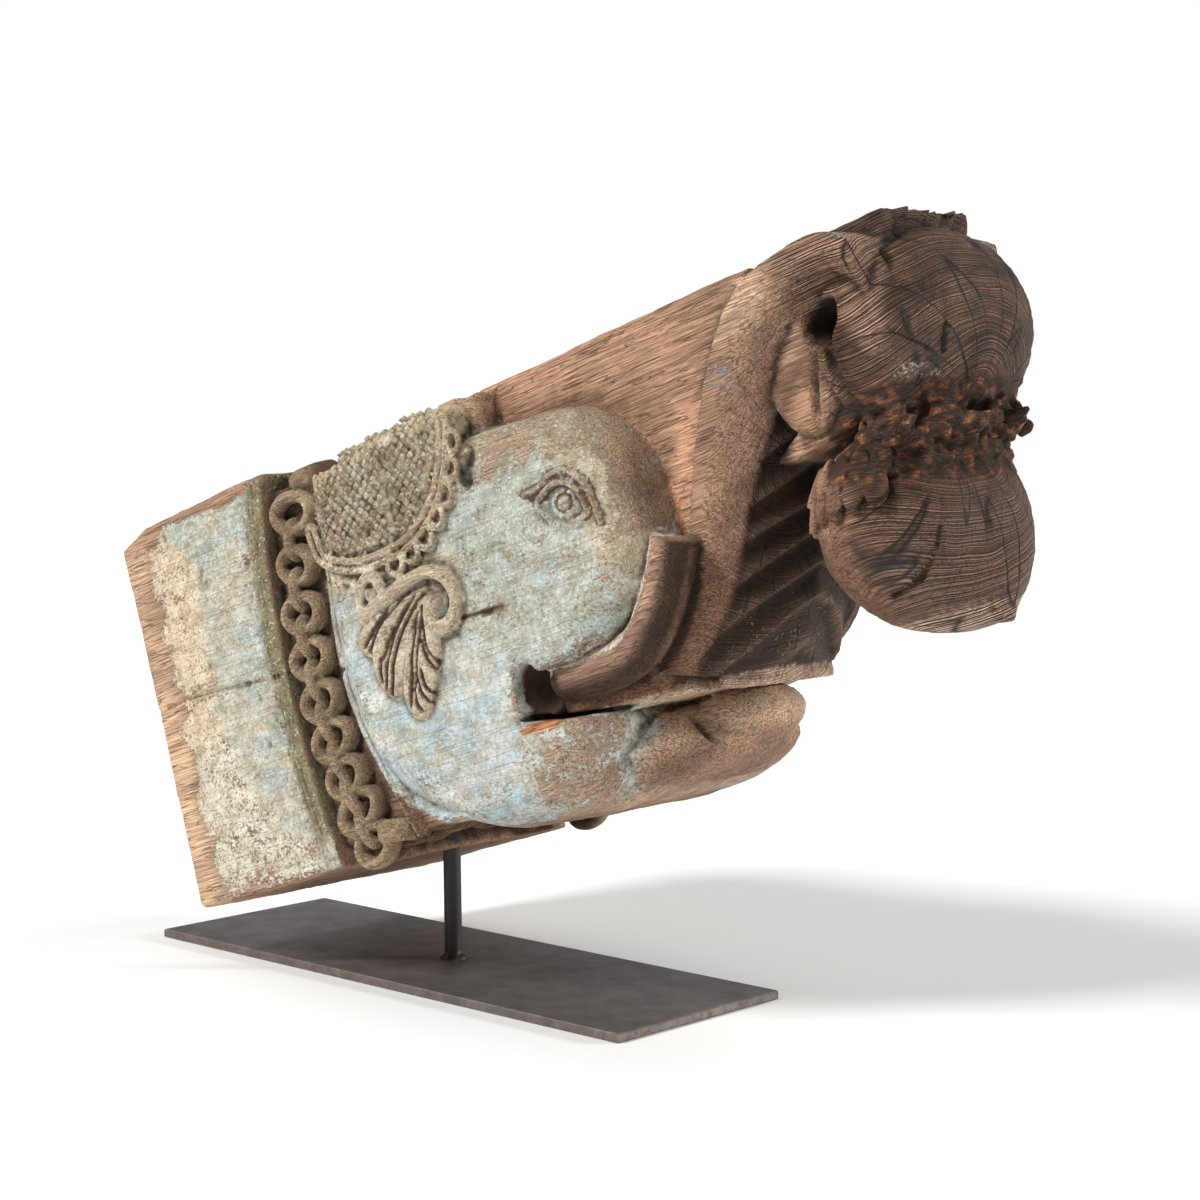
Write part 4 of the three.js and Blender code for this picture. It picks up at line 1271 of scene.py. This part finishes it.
# Paint and its cover: cream then grey-blue on the block, green by the collar, blue-grey on the head,
# ochre on the cap
fromBlue = ragged - np.interp(up, (16, 34, 75, 121, 188, 229, 252), (134, 112, 80, 62, 70, 70, 44))
onPaintedBlock = onBlock * facing
lowHead = onHead * ramp(140 - raggedUp + 0.3 * (300 - along), 0, 60)
byCollar = ramp(13 - np.abs(fromCollar + 5), 0, 8) * ramp(ragged, 80, 90) * ramp(up, 12, 30)
underCap = ramp(18 - np.abs(raggedUp - 172 + 0.3 * (along - 250)), 0, 10) * (along < 330)
highTrunk = onTrunk * ramp(raggedUp, 160, 200) * (along < 566) * ramp(50 - backGap, 0, 20)
paintLayers = [
    ("#dccab0", 0.66, onPaintedBlock * ramp(ragged, 16, 26) * ramp(256 - raggedUp, 0, 8)),
    ("#dcd8c6", 0.62, onPaintedBlock * ramp(ragged, 22, 34) * ramp(118 - raggedUp, 0, 16)),
    ("#bdbfb2", 0.86, onPaintedBlock * ramp(fromBlue, -3, 6) * ramp(260 - raggedUp, 0, 8)),
    ("#a9b9b8", 0.86, onPaintedBlock * ramp(fromBlue, 4, 16) * ramp(blotch, -0.1, 0.7)),
    ("#c6bfa8", 0.8, onPaintedBlock * ramp(fromBlue, 4, 16) * ramp(-blotch, 0.35, 0.9)),
    ("#85825f", 0.7, byCollar),
    ("#8c8262", 0.5, onStep),
    ("#b1b9b1", 0.66, onHead),
    ("#aebcbd", 0.7, onHead * ramp(blotch, 0.0, 0.9)),
    ("#bcc6c6", 0.72, lowHead),
    ("#a9c2cd", 0.74, lowHead * ramp(blotch, 0.1, 0.8) * 0.8),
    ("#d2d4ce", 0.7, lowHead * ramp(-blotch, 0.2, 0.9)),
    ("#bfb39b", 0.72, onHead * ramp(ragged + 0.2 * up, 462, 480)),
    ("#a39a82", 0.74, onHead * ramp(raggedUp + 0.2 * (along - 380), 200, 222)),
    # thinner, darker paint towards the head's front margin, partly painted shade
    ("#8b7f68", 0.56, onHead * ramp(ragged + 0.55 * (raggedUp - 150), 478, 506)),
    ("#8b7f68", 0.08, onHead * ramp(ragged + 0.25 * raggedUp, 504, 524)),
    ("#b5ac95", 0.7, onHead * underCap),
    ("#d2c7ab", 0.66, onCap),
    ("#cdc2ac", 0.68, onEar),
    ("#cdc2ac", 0.0, onCuts),
    ("#b4b8ae", 0.3, onLids),
    ("#b4b8ae", 0.0, np.maximum(onPocket, onCrack)),
    ("#c4c8c3", 0.62, onJaw * ramp(408 + 1.3 * up - ragged, 0, 34) * (side > 50)),
    ("#b9b2a4", 0.1, underTusk),
    ("#d9d3c6", 0.08, onTusk),
    ("#dcd6ca", 0.62, onTusk * ramp(cheekward, 2, 8)),
    ("#858d80", 0.6, onTrunk * (side > 60) * ramp(5 - backGap, 0, 4)),
    ("#9dabab", 0.38, highTrunk * (side > 56)),
    ("#7fa9c6", 0.55, onTrunk * spot((539, 213), (9, 11), 1.3, 0.6) * (side > 50)),
    ("#b9bcb2", 0.3, onFolds * ramp(98 - up, 0, 14)),
    ("#d3c4b8", 0.5, onFront * spot((650, 170), (16, 17), 1.3, 0.7) * (out > 8)),
    ("#8bb4d4", 0.8, onTip),
    ("#8bb4d4", 0.0, onBreak),
    ("#d6cfc0", 0.0, onFresh + onChip),
]
paint = np.tile(linear("#b9c1bb"), (len(place), 1))
cover = np.zeros(len(place))
for code, amount, mask in paintLayers:
    mask = np.clip(mask, 0, 1)
    paint += (linear(code) - paint) * mask[:, None]
    cover += (amount - cover) * mask

cover *= 1 - 0.3 * np.clip(-fineHollow * 1.5, 0, 1)
# dirt and painted shade: darker in fine and broad hollows, more in the cap's diamonds and on the front
dirtAndShade = ramp(fineHollow, 0.06, 0.7) * 0.75 + ramp(wideHollow, 0.8, 5) * 0.5
dirtAndShade += onCap * ramp(fineHollow, 0.0, 0.25) * 0.5 + onFront * ramp(fineHollow, 0.0, 0.3) * 0.4
dirtAndShade = np.clip(dirtAndShade * (1 - 0.8 * onFresh) * (1 - 0.6 * onBoard), 0, 1)
aged = np.clip(onTrunk * 0.15 + ramp(along, 570, 606) + onTusk * 0.1 + onFolds * 0.4, 0, 1)
aged = np.maximum(aged * (1 - 0.6 * onBreak), 0.4 * ramp(-normal[:, 0], 0.7, 0.9) * (along < 20))


def keepColours(mesh, name, values):
    layer = mesh.attributes.new(name, "FLOAT_COLOR", "POINT")
    layer.data.foreach_set("color", np.hstack([values, np.ones((len(values), 1))]).astype(np.float32).ravel())


def keepNumber(mesh, name, values):
    layer = mesh.attributes.new(name, "FLOAT", "POINT")
    layer.data.foreach_set("value", values.astype(np.float32))


corbel.data.vertices.foreach_set("co", toWorld(place).astype(np.float32).ravel())
keepColours(corbel.data, "woodTone", wood)
keepColours(corbel.data, "paintTone", paint)
for name, values in (("paintCover", cover), ("dirtAndShade", dirtAndShade), ("aged", aged)):
    keepNumber(corbel.data, name, values)
corbel.data.shade_smooth()
corbel.data.update()
print("toned")


def colour(code):
    return (*linear(code), 1)


def ranged(tree, value, *limits):
    # value carried from one range to another, 0 to 1 where none is given
    return add(tree, "ShaderNodeMapRange", {0: value, **dict(enumerate(limits, 1))})


def mixed(tree, share, under, over, kind="MIX"):
    return add(tree, "ShaderNodeMix", {0: share, 6: under, 7: over}, data_type="RGBA", blend_type=kind)


def bareTree(material):
    material.use_nodes = True
    material.node_tree.nodes.clear()
    return material.node_tree


# Old teak: dry, open-grained and grey-brown. Growth rings about 2.6 mm apart circle a heart inside the
# timber and stand as ridges on the weathered front; drying cracks run out from the heart; thin paint has
# flaked to fine specks
teak = {
    "heart": (20, 156), "ring": 2.6, "ringNoise": 3.6, "ringWander": 16, "relief": 0.0014,
    "crackTurns": 4.0, "crackDrift": 0.006, "crackBreadth": 0.02, "checkBreadth": 0.012,
}
# clouds of noise: size of grain along and across the timber in mm, detail and roughness
clouds = {
    "wander": (170, 50, 2, 0.5), "fibre": (32, 0.9, 4, 0.65), "broad": (110, 24, 3, 0.5),
    "check": (90, 6, 2, 0.5), "flake": (3.2, 2.3, 5, 0.75), "patch": (20, 14, 3, 0.55),
    "stain": (13, 10, 4, 0.65), "speck": (2.4, 2.0, 3, 0.6), "soil": (5, 5, 3, 0.6),
}


def nearMiddle(tree, fac, breadth, strength):
    # thin lines where a noise crosses its middle
    off = calc(tree, "ABSOLUTE", calc(tree, "SUBTRACT", fac, 0.5))
    return ranged(tree, off, 0.0, breadth, strength, 0.0)


def teakMaterial(material):
    tree = bareTree(material)
    x, z = timberStart
    grain = add(tree, "ShaderNodeMapping", {
        "Vector": add(tree, "ShaderNodeTexCoord").outputs["Object"], "Scale": (1000, 1000, 1000),
        "Rotation": (0, tilt, 0),
        "Location": (-x * math.cos(tilt) - z * math.sin(tilt), 0, x * math.sin(tilt) - z * math.cos(tilt)),
    })
    cloud = {}
    for name, (alongSize, acrossSize, detail, rough) in clouds.items():
        scaled = add(tree, "ShaderNodeMapping", {
            "Vector": grain, "Scale": (1 / alongSize, 1 / acrossSize, 1 / acrossSize),
            "Location": (3.7 * len(cloud), 1.9 * len(cloud), 0),
        })
        cloud[name] = add(tree, "ShaderNodeTexNoise", {
            "Vector": scaled, "Scale": 1.0, "Detail": detail, "Roughness": rough,
        }).outputs["Fac"]
    tone = {}
    for name in ("woodTone", "paintTone", "paintCover", "dirtAndShade", "aged"):
        kept = add(tree, "ShaderNodeAttribute", attribute_name=name)
        tone[name] = kept.outputs["Color" if "Tone" in name else "Fac"]

    # growth rings, fine checks, and the cracks that run out from the heart
    spread = add(tree, "ShaderNodeSeparateXYZ", {0: grain}).outputs
    fromHeart = add(tree, "ShaderNodeCombineXYZ", {
        "Y": calc(tree, "ADD", spread["Y"], teak["heart"][0]),
        "Z": calc(tree, "SUBTRACT", spread["Z"], teak["heart"][1]),
    })
    radius = add(tree, "ShaderNodeVectorMath", {0: fromHeart}, operation="LENGTH").outputs["Value"]
    wander = calc(tree, "MULTIPLY_ADD", cloud["wander"], teak["ringWander"], radius)
    ringNoise = add(tree, "ShaderNodeTexNoise", {
        "W": calc(tree, "MULTIPLY", wander, teak["ringNoise"] / teak["ring"]),
        "Scale": 1.0, "Detail": 2.0, "Roughness": 0.6,
    }, noise_dimensions="1D").outputs["Fac"]
    worn = calc(tree, "MULTIPLY", ranged(tree, cloud["patch"], 0.4, 0.62, 0.1, 1.0), tone["aged"])
    # pale lines on the ring ridges of worn wood: bleached grain and a painted highlight
    ridgeBleachAndHighlight = calc(tree, "MULTIPLY", ranged(tree, ringNoise, 0.44, 0.36), worn)
    ringShare = ranged(tree, tone["aged"], 0.0, 1.0, 0.12, 1.0)
    ringed = calc(tree, "MULTIPLY", ranged(tree, ringNoise, 0.46, 0.6), ringShare)
    heading = add(tree, "ShaderNodeVectorMath", {0: fromHeart}, operation="NORMALIZE")
    turned = add(tree, "ShaderNodeVectorMath", {0: heading, "Scale": teak["crackTurns"]}, operation="SCALE")
    drift = add(tree, "ShaderNodeVectorMath", {0: grain, "Scale": teak["crackDrift"]}, operation="SCALE")
    crackPlace = add(tree, "ShaderNodeVectorMath", {0: turned, 1: drift}, operation="ADD")
    crackNoise = add(tree, "ShaderNodeTexNoise", {
        "Vector": crackPlace, "Scale": 1.0, "Detail": 1.0,
    }).outputs["Fac"]
    cracked = calc(tree, "MULTIPLY", nearMiddle(tree, crackNoise, teak["crackBreadth"], 1.0), tone["aged"])
    checks = nearMiddle(tree, cloud["check"], teak["checkBreadth"], 0.7)

    # bare wood: streaks along the fibres, then broad shades, bleached ring ridges with a painted highlight,
    # rings, checks and cracks
    dark, light, deep = (mixed(tree, 1.0, tone["woodTone"], tint, "MULTIPLY") for tint in (
        colour("#a3968c"), (1.8, 1.68, 1.54, 1), colour("#46342a"),
    ))
    surface = mixed(tree, ranged(tree, cloud["fibre"], 0.34, 0.66), dark, light)
    shade = ranged(tree, cloud["broad"], 0.45, 0.8, 0.0, 0.8)
    for share, laid in (
        (shade, dark), (ridgeBleachAndHighlight, light), (ringed, deep),
        (checks, colour("#3a2c22")), (cracked, colour("#1d1510")),
    ):
        surface = mixed(tree, share, surface, laid)

    # paint: mottled and stained, speckled pale and brown, flaked off where its cover is thin
    stained, chalked = (mixed(tree, 1.0, tone["paintTone"], tint, "MULTIPLY") for tint in (
        colour("#e0d6c4"), (1.2, 1.2, 1.19, 1),
    ))
    painted = mixed(tree, ranged(tree, cloud["stain"], 0.36, 0.64), stained, chalked)
    browned = ranged(tree, cloud["speck"], 0.54, 0.62, 0.0, 0.75)
    painted = mixed(tree, browned, painted, tone["woodTone"])
    whitened = ranged(tree, cloud["speck"], 0.44, 0.36, 0.0, 0.6)
    painted = mixed(tree, whitened, painted, colour("#e4e2da"))
    flaked = calc(tree, "MULTIPLY_ADD", cloud["flake"], 1.3, tone["paintCover"])
    flaked = calc(tree, "MULTIPLY_ADD", cloud["patch"], 0.5, flaked)
    covered = ranged(tree, flaked, 1.34, 1.43)
    # dirt and painted shade in the hollows, mixed towards dark brown
    soiledAndShaded = calc(tree, "MULTIPLY", ranged(tree, cloud["soil"], 0.3, 0.7, 0.5, 1.1), tone["dirtAndShade"])
    surface = mixed(tree, covered, surface, painted)
    surface = mixed(tree, soiledAndShaded, surface, colour("#3a2c20"))

    # relief in mm: fibres and flakes stand up, rings, checks and cracks are eaten out
    height = calc(tree, "MULTIPLY", cloud["fibre"], 0.55)
    for part, rise in (
        (ringed, -0.8), (checks, -0.5), (cracked, -1.4), (covered, 0.22), (cloud["flake"], 0.5),
    ):
        height = calc(tree, "MULTIPLY_ADD", part, rise, height)
    relief = add(tree, "ShaderNodeBump", {"Height": height, "Strength": 1.0, "Distance": teak["relief"]})
    shine = add(tree, "ShaderNodeBsdfPrincipled", {
        "Base Color": surface, "Roughness": ranged(tree, tone["aged"], 0.0, 1.0, 0.88, 0.5),
        "Normal": relief, "Specular IOR Level": 0.35,
    })
    add(tree, "ShaderNodeOutputMaterial", {"Surface": shine})


teakMaterial(oldTeak)

# Mild steel: hot-rolled bar and plate, dark mill scale rubbed grey on the flats, a little rust at edges
# and weld
steelClouds = {"scale": 18, "rust": 5, "scratch": 1.5, "rustGrain": 3}


def steelMaterial(name, darker, lighter):
    material = bpy.data.materials.new(name)
    tree = bareTree(material)
    spot = add(tree, "ShaderNodeTexCoord").outputs["Object"]
    cloud = {}
    for label, size in steelClouds.items():
        cloud[label] = add(tree, "ShaderNodeTexNoise", {
            "Vector": spot, "Scale": 1000 / size, "Detail": 4.0, "Roughness": 0.6,
        }).outputs["Fac"]
    rusty = add(tree, "ShaderNodeAttribute", attribute_name="rust").outputs["Fac"]
    eaten = ranged(tree, calc(tree, "MULTIPLY_ADD", cloud["rust"], 1.6, rusty), 1.5, 1.9)
    ground = mixed(tree, cloud["scale"], colour(darker), colour(lighter))
    rust = mixed(tree, cloud["rustGrain"], colour("#4a3020"), colour("#7e5a41"))
    relief = add(tree, "ShaderNodeBump", {"Height": cloud["scratch"], "Strength": 0.35, "Distance": 0.0004})
    shine = add(tree, "ShaderNodeBsdfPrincipled", {
        "Base Color": mixed(tree, eaten, ground, rust), "Roughness": ranged(tree, eaten, 0.0, 1.0, 0.5, 0.85),
        "Metallic": ranged(tree, eaten, 0.0, 1.0, 0.75, 0.05), "Normal": relief,
    })
    add(tree, "ShaderNodeOutputMaterial", {"Surface": shine})
    return material


plateSteel = steelMaterial("mill_plate", "#4b4746", "#928c8a")
rodSteel = steelMaterial("black_bar", "#262321", "#4c4745")


def bands(tiers, sides):
    # quads between rings of corners, one ring for each tier
    quads = []
    for tier in range(tiers - 1):
        for k in range(sides):
            j = (k + 1) % sides
            quads.append((tier * sides + k, tier * sides + j, (tier + 1) * sides + j, (tier + 1) * sides + k))
    return quads


def steelMesh(name, corners, faces, rust):
    mesh = bpy.data.meshes.new(name)
    mesh.from_pydata(corners, [], faces)
    keepNumber(mesh, "rust", np.array(rust))
    return mesh


# Plate: a flat with softened arrises, rusted at its edges and round the weld
plate = {
    "arris": 0.0008, "columns": 90, "rows": 30,
    "rustWidth": 9, "edgeRust": 0.75, "weldRust": 0.7, "weldReach": 22,
}


def standPlate():
    low, high = (np.array(corner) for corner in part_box("stand_plate"))
    arris = plate["arris"]
    tiers = [(low[2], arris), (low[2] + arris, 0), (high[2] - arris, 0), (high[2], arris)]
    columns = np.linspace(-1, 1, plate["columns"])
    rows = np.linspace(-1, 1, plate["rows"])
    edge = [(x, -1) for x in columns[:-1]] + [(1, y) for y in rows[:-1]]
    edge += [(x, 1) for x in columns[:0:-1]] + [(-1, y) for y in rows[:0:-1]]
    halfX, halfY = (high[0] - low[0]) / 2, (high[1] - low[1]) / 2
    corners = [(x * (halfX - inset), y * (halfY - inset), z) for z, inset in tiers for x, y in edge]
    faces = bands(len(tiers), len(edge))
    for z, first, turn in ((low[2], 0, -1), (high[2], (len(tiers) - 1) * len(edge), 1)):
        lookup = {place: first + k for k, place in enumerate(edge)}
        for x in columns[1:-1]:
            for y in rows[1:-1]:
                lookup[(x, y)] = len(corners)
                corners.append((x * (halfX - arris), y * (halfY - arris), z))
        for x, nextX in zip(columns[:-1], columns[1:]):
            for y, nextY in zip(rows[:-1], rows[1:]):
                ring = [lookup[place] for place in ((x, y), (nextX, y), (nextX, nextY), (x, nextY))]
                faces.append(tuple(ring[::turn]))
    spots = np.abs(corners)
    toEdge = np.minimum(halfX - spots[:, 0], halfY - spots[:, 1]) * 1000
    toWeld = np.hypot(spots[:, 0], spots[:, 1]) * 1000
    rust = np.clip(1 - toEdge / plate["rustWidth"], 0, 1) * plate["edgeRust"]
    rust = np.maximum(rust, plate["weldRust"] * np.exp(-((toWeld / plate["weldReach"]) ** 2)))
    return steelMesh("steel_plate", corners, faces, rust)


# Rod: a round bar with a lumpy weld bead at its foot
rod = {
    "radius": 6.0, "arris": 0.6, "weld": 9.5, "weldHigh": 6, "lump": 0.5, "lumpHigh": 4,
    "bead": ((0, 0.98), (1.2, 0.93), (2.4, 0.8), (3.4, 0.69)), "beadTop": 4.2, "sides": 48, "steps": 40,
    "weldRust": 0.8, "barRust": 0.25,
}


def standRod():
    low, high = (np.array(corner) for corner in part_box("stand_rod"))
    radius, sides, height = rod["radius"], rod["sides"], (high[2] - low[2]) * 1000
    stations = [(z, share * rod["weld"]) for z, share in rod["bead"]] + [(rod["beadTop"], radius)]
    stations += [(z, radius) for z in np.linspace(rod["weldHigh"], height - rod["arris"], rod["steps"])]
    stations += [(height, radius - rod["arris"])]
    corners, rust = [], []
    for z, size in stations:
        for k in range(sides):
            turn = 2 * math.pi * k / sides
            x, y = math.cos(turn), math.sin(turn)
            lump = rod["lump"] * float(noise(radius * x, radius * y, z, 3.0, 41))
            reach = min(size + (lump if z < rod["lumpHigh"] else 0), rod["weld"]) / 1000
            corners.append((reach * x, reach * y, low[2] + z / 1000))
            rust.append(rod["weldRust"] if z < rod["weldHigh"] else rod["barRust"])
    faces = bands(len(stations), sides)
    faces.append(tuple(range(sides - 1, -1, -1)))
    faces.append(tuple(range(len(corners) - sides, len(corners))))
    return steelMesh("steel_rod", corners, faces, rust)


steelPlate = newObject("steel_plate", standPlate())
steelRod = newObject("steel_rod", standRod())
for mesh, material in ((steelRod.data, rodSteel), (steelPlate.data, plateSteel)):
    mesh.shade_smooth()
    mesh.set_sharp_from_angle(angle=math.radians(35))
    mesh.materials.append(material)
corbel.data.materials.clear()
corbel.data.materials.append(oldTeak)
for piece, node, slotName in (
    (corbel, "carved_corbel", "old_teak"), (steelRod, "stand_rod", "dark_steel"),
    (steelPlate, "stand_plate", "dark_steel"),
):
    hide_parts(node)
    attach(piece, "root")
print("pieces dressed")

# Floor of white paper, soft lamps and camera
paper = bpy.data.materials.new("white_paper")
paper.use_nodes = True
paper.node_tree.nodes["Principled BSDF"].inputs["Base Color"].default_value = colour("#f3f3f2")
paper.node_tree.nodes["Principled BSDF"].inputs["Roughness"].default_value = 0.9
floorHalf = 6
floorMesh = bpy.data.meshes.new("floor")
floorMesh.from_pydata([
    (x * floorHalf, y * floorHalf, 0) for x, y in ((-1, -1), (1, -1), (1, 1), (-1, 1))
], [], [(0, 1, 2, 3)])
floorMesh.materials.append(paper)
floor = newObject("floor", floorMesh)

lamps = {
    "key": {"from": (-0.3, -0.8, 0.75), "strength": 2.9, "angle": 18},
    "top": {"from": (0.1, 0.25, 1.0), "strength": 0.8, "angle": 40},
    "rim": {"from": (0.9, 0.8, 0.3), "strength": 2.2, "angle": 6},
}
for name, lamp in lamps.items():
    light = bpy.data.lights.new(name, "SUN")
    light.angle = math.radians(lamp["angle"])
    light.energy = lamp["strength"]
    newObject(name, light).rotation_euler = Vector(lamp["from"]).to_track_quat("Z", "Y").to_euler()

# white all round: full strength behind the object, softer as light on it
studio = {"light": 0.33, "backdrop": 1.0}
world = bpy.data.worlds.new("studio")
bpy.context.scene.world = world
world.use_nodes = True
seen = add(world.node_tree, "ShaderNodeLightPath").outputs["Is Camera Ray"]
strength = ranged(world.node_tree, seen, 0.0, 1.0, studio["light"], studio["backdrop"])
backdrop = world.node_tree.nodes["Background"]
backdrop.inputs["Color"].default_value = (1, 1, 1, 1)
world.node_tree.links.new(strength.outputs[0], backdrop.inputs["Strength"])
bpy.context.scene.view_settings.view_transform = "Standard"

view = {
    "azimuth": 43.905, "elevation": 4.914, "roll": -0.528, "place": (1277.4, -1180.1, 398.9), "lens": 77.66,
}


def standCamera():
    turn, rise, roll = (math.radians(view[key]) for key in ("azimuth", "elevation", "roll"))
    right = Vector((math.cos(turn), math.sin(turn), 0))
    back = Vector((math.sin(turn) * math.cos(rise), -math.cos(turn) * math.cos(rise), math.sin(rise)))
    top = back.cross(right)
    rightRolled = right * math.cos(roll) + top * math.sin(roll)
    topRolled = top * math.cos(roll) - right * math.sin(roll)
    data = bpy.data.cameras.new("camera")
    data.lens = view["lens"]
    data.sensor_width = 36
    data.clip_end = 50
    camera = newObject("camera", data)
    turned = Matrix((rightRolled, topRolled, back)).transposed().to_4x4()
    camera.matrix_world = Matrix.Translation(Vector(view["place"]) / 1000) @ turned
    bpy.context.scene.camera = camera


standCamera()
bpy.context.view_layer.update()
print("scene ready")
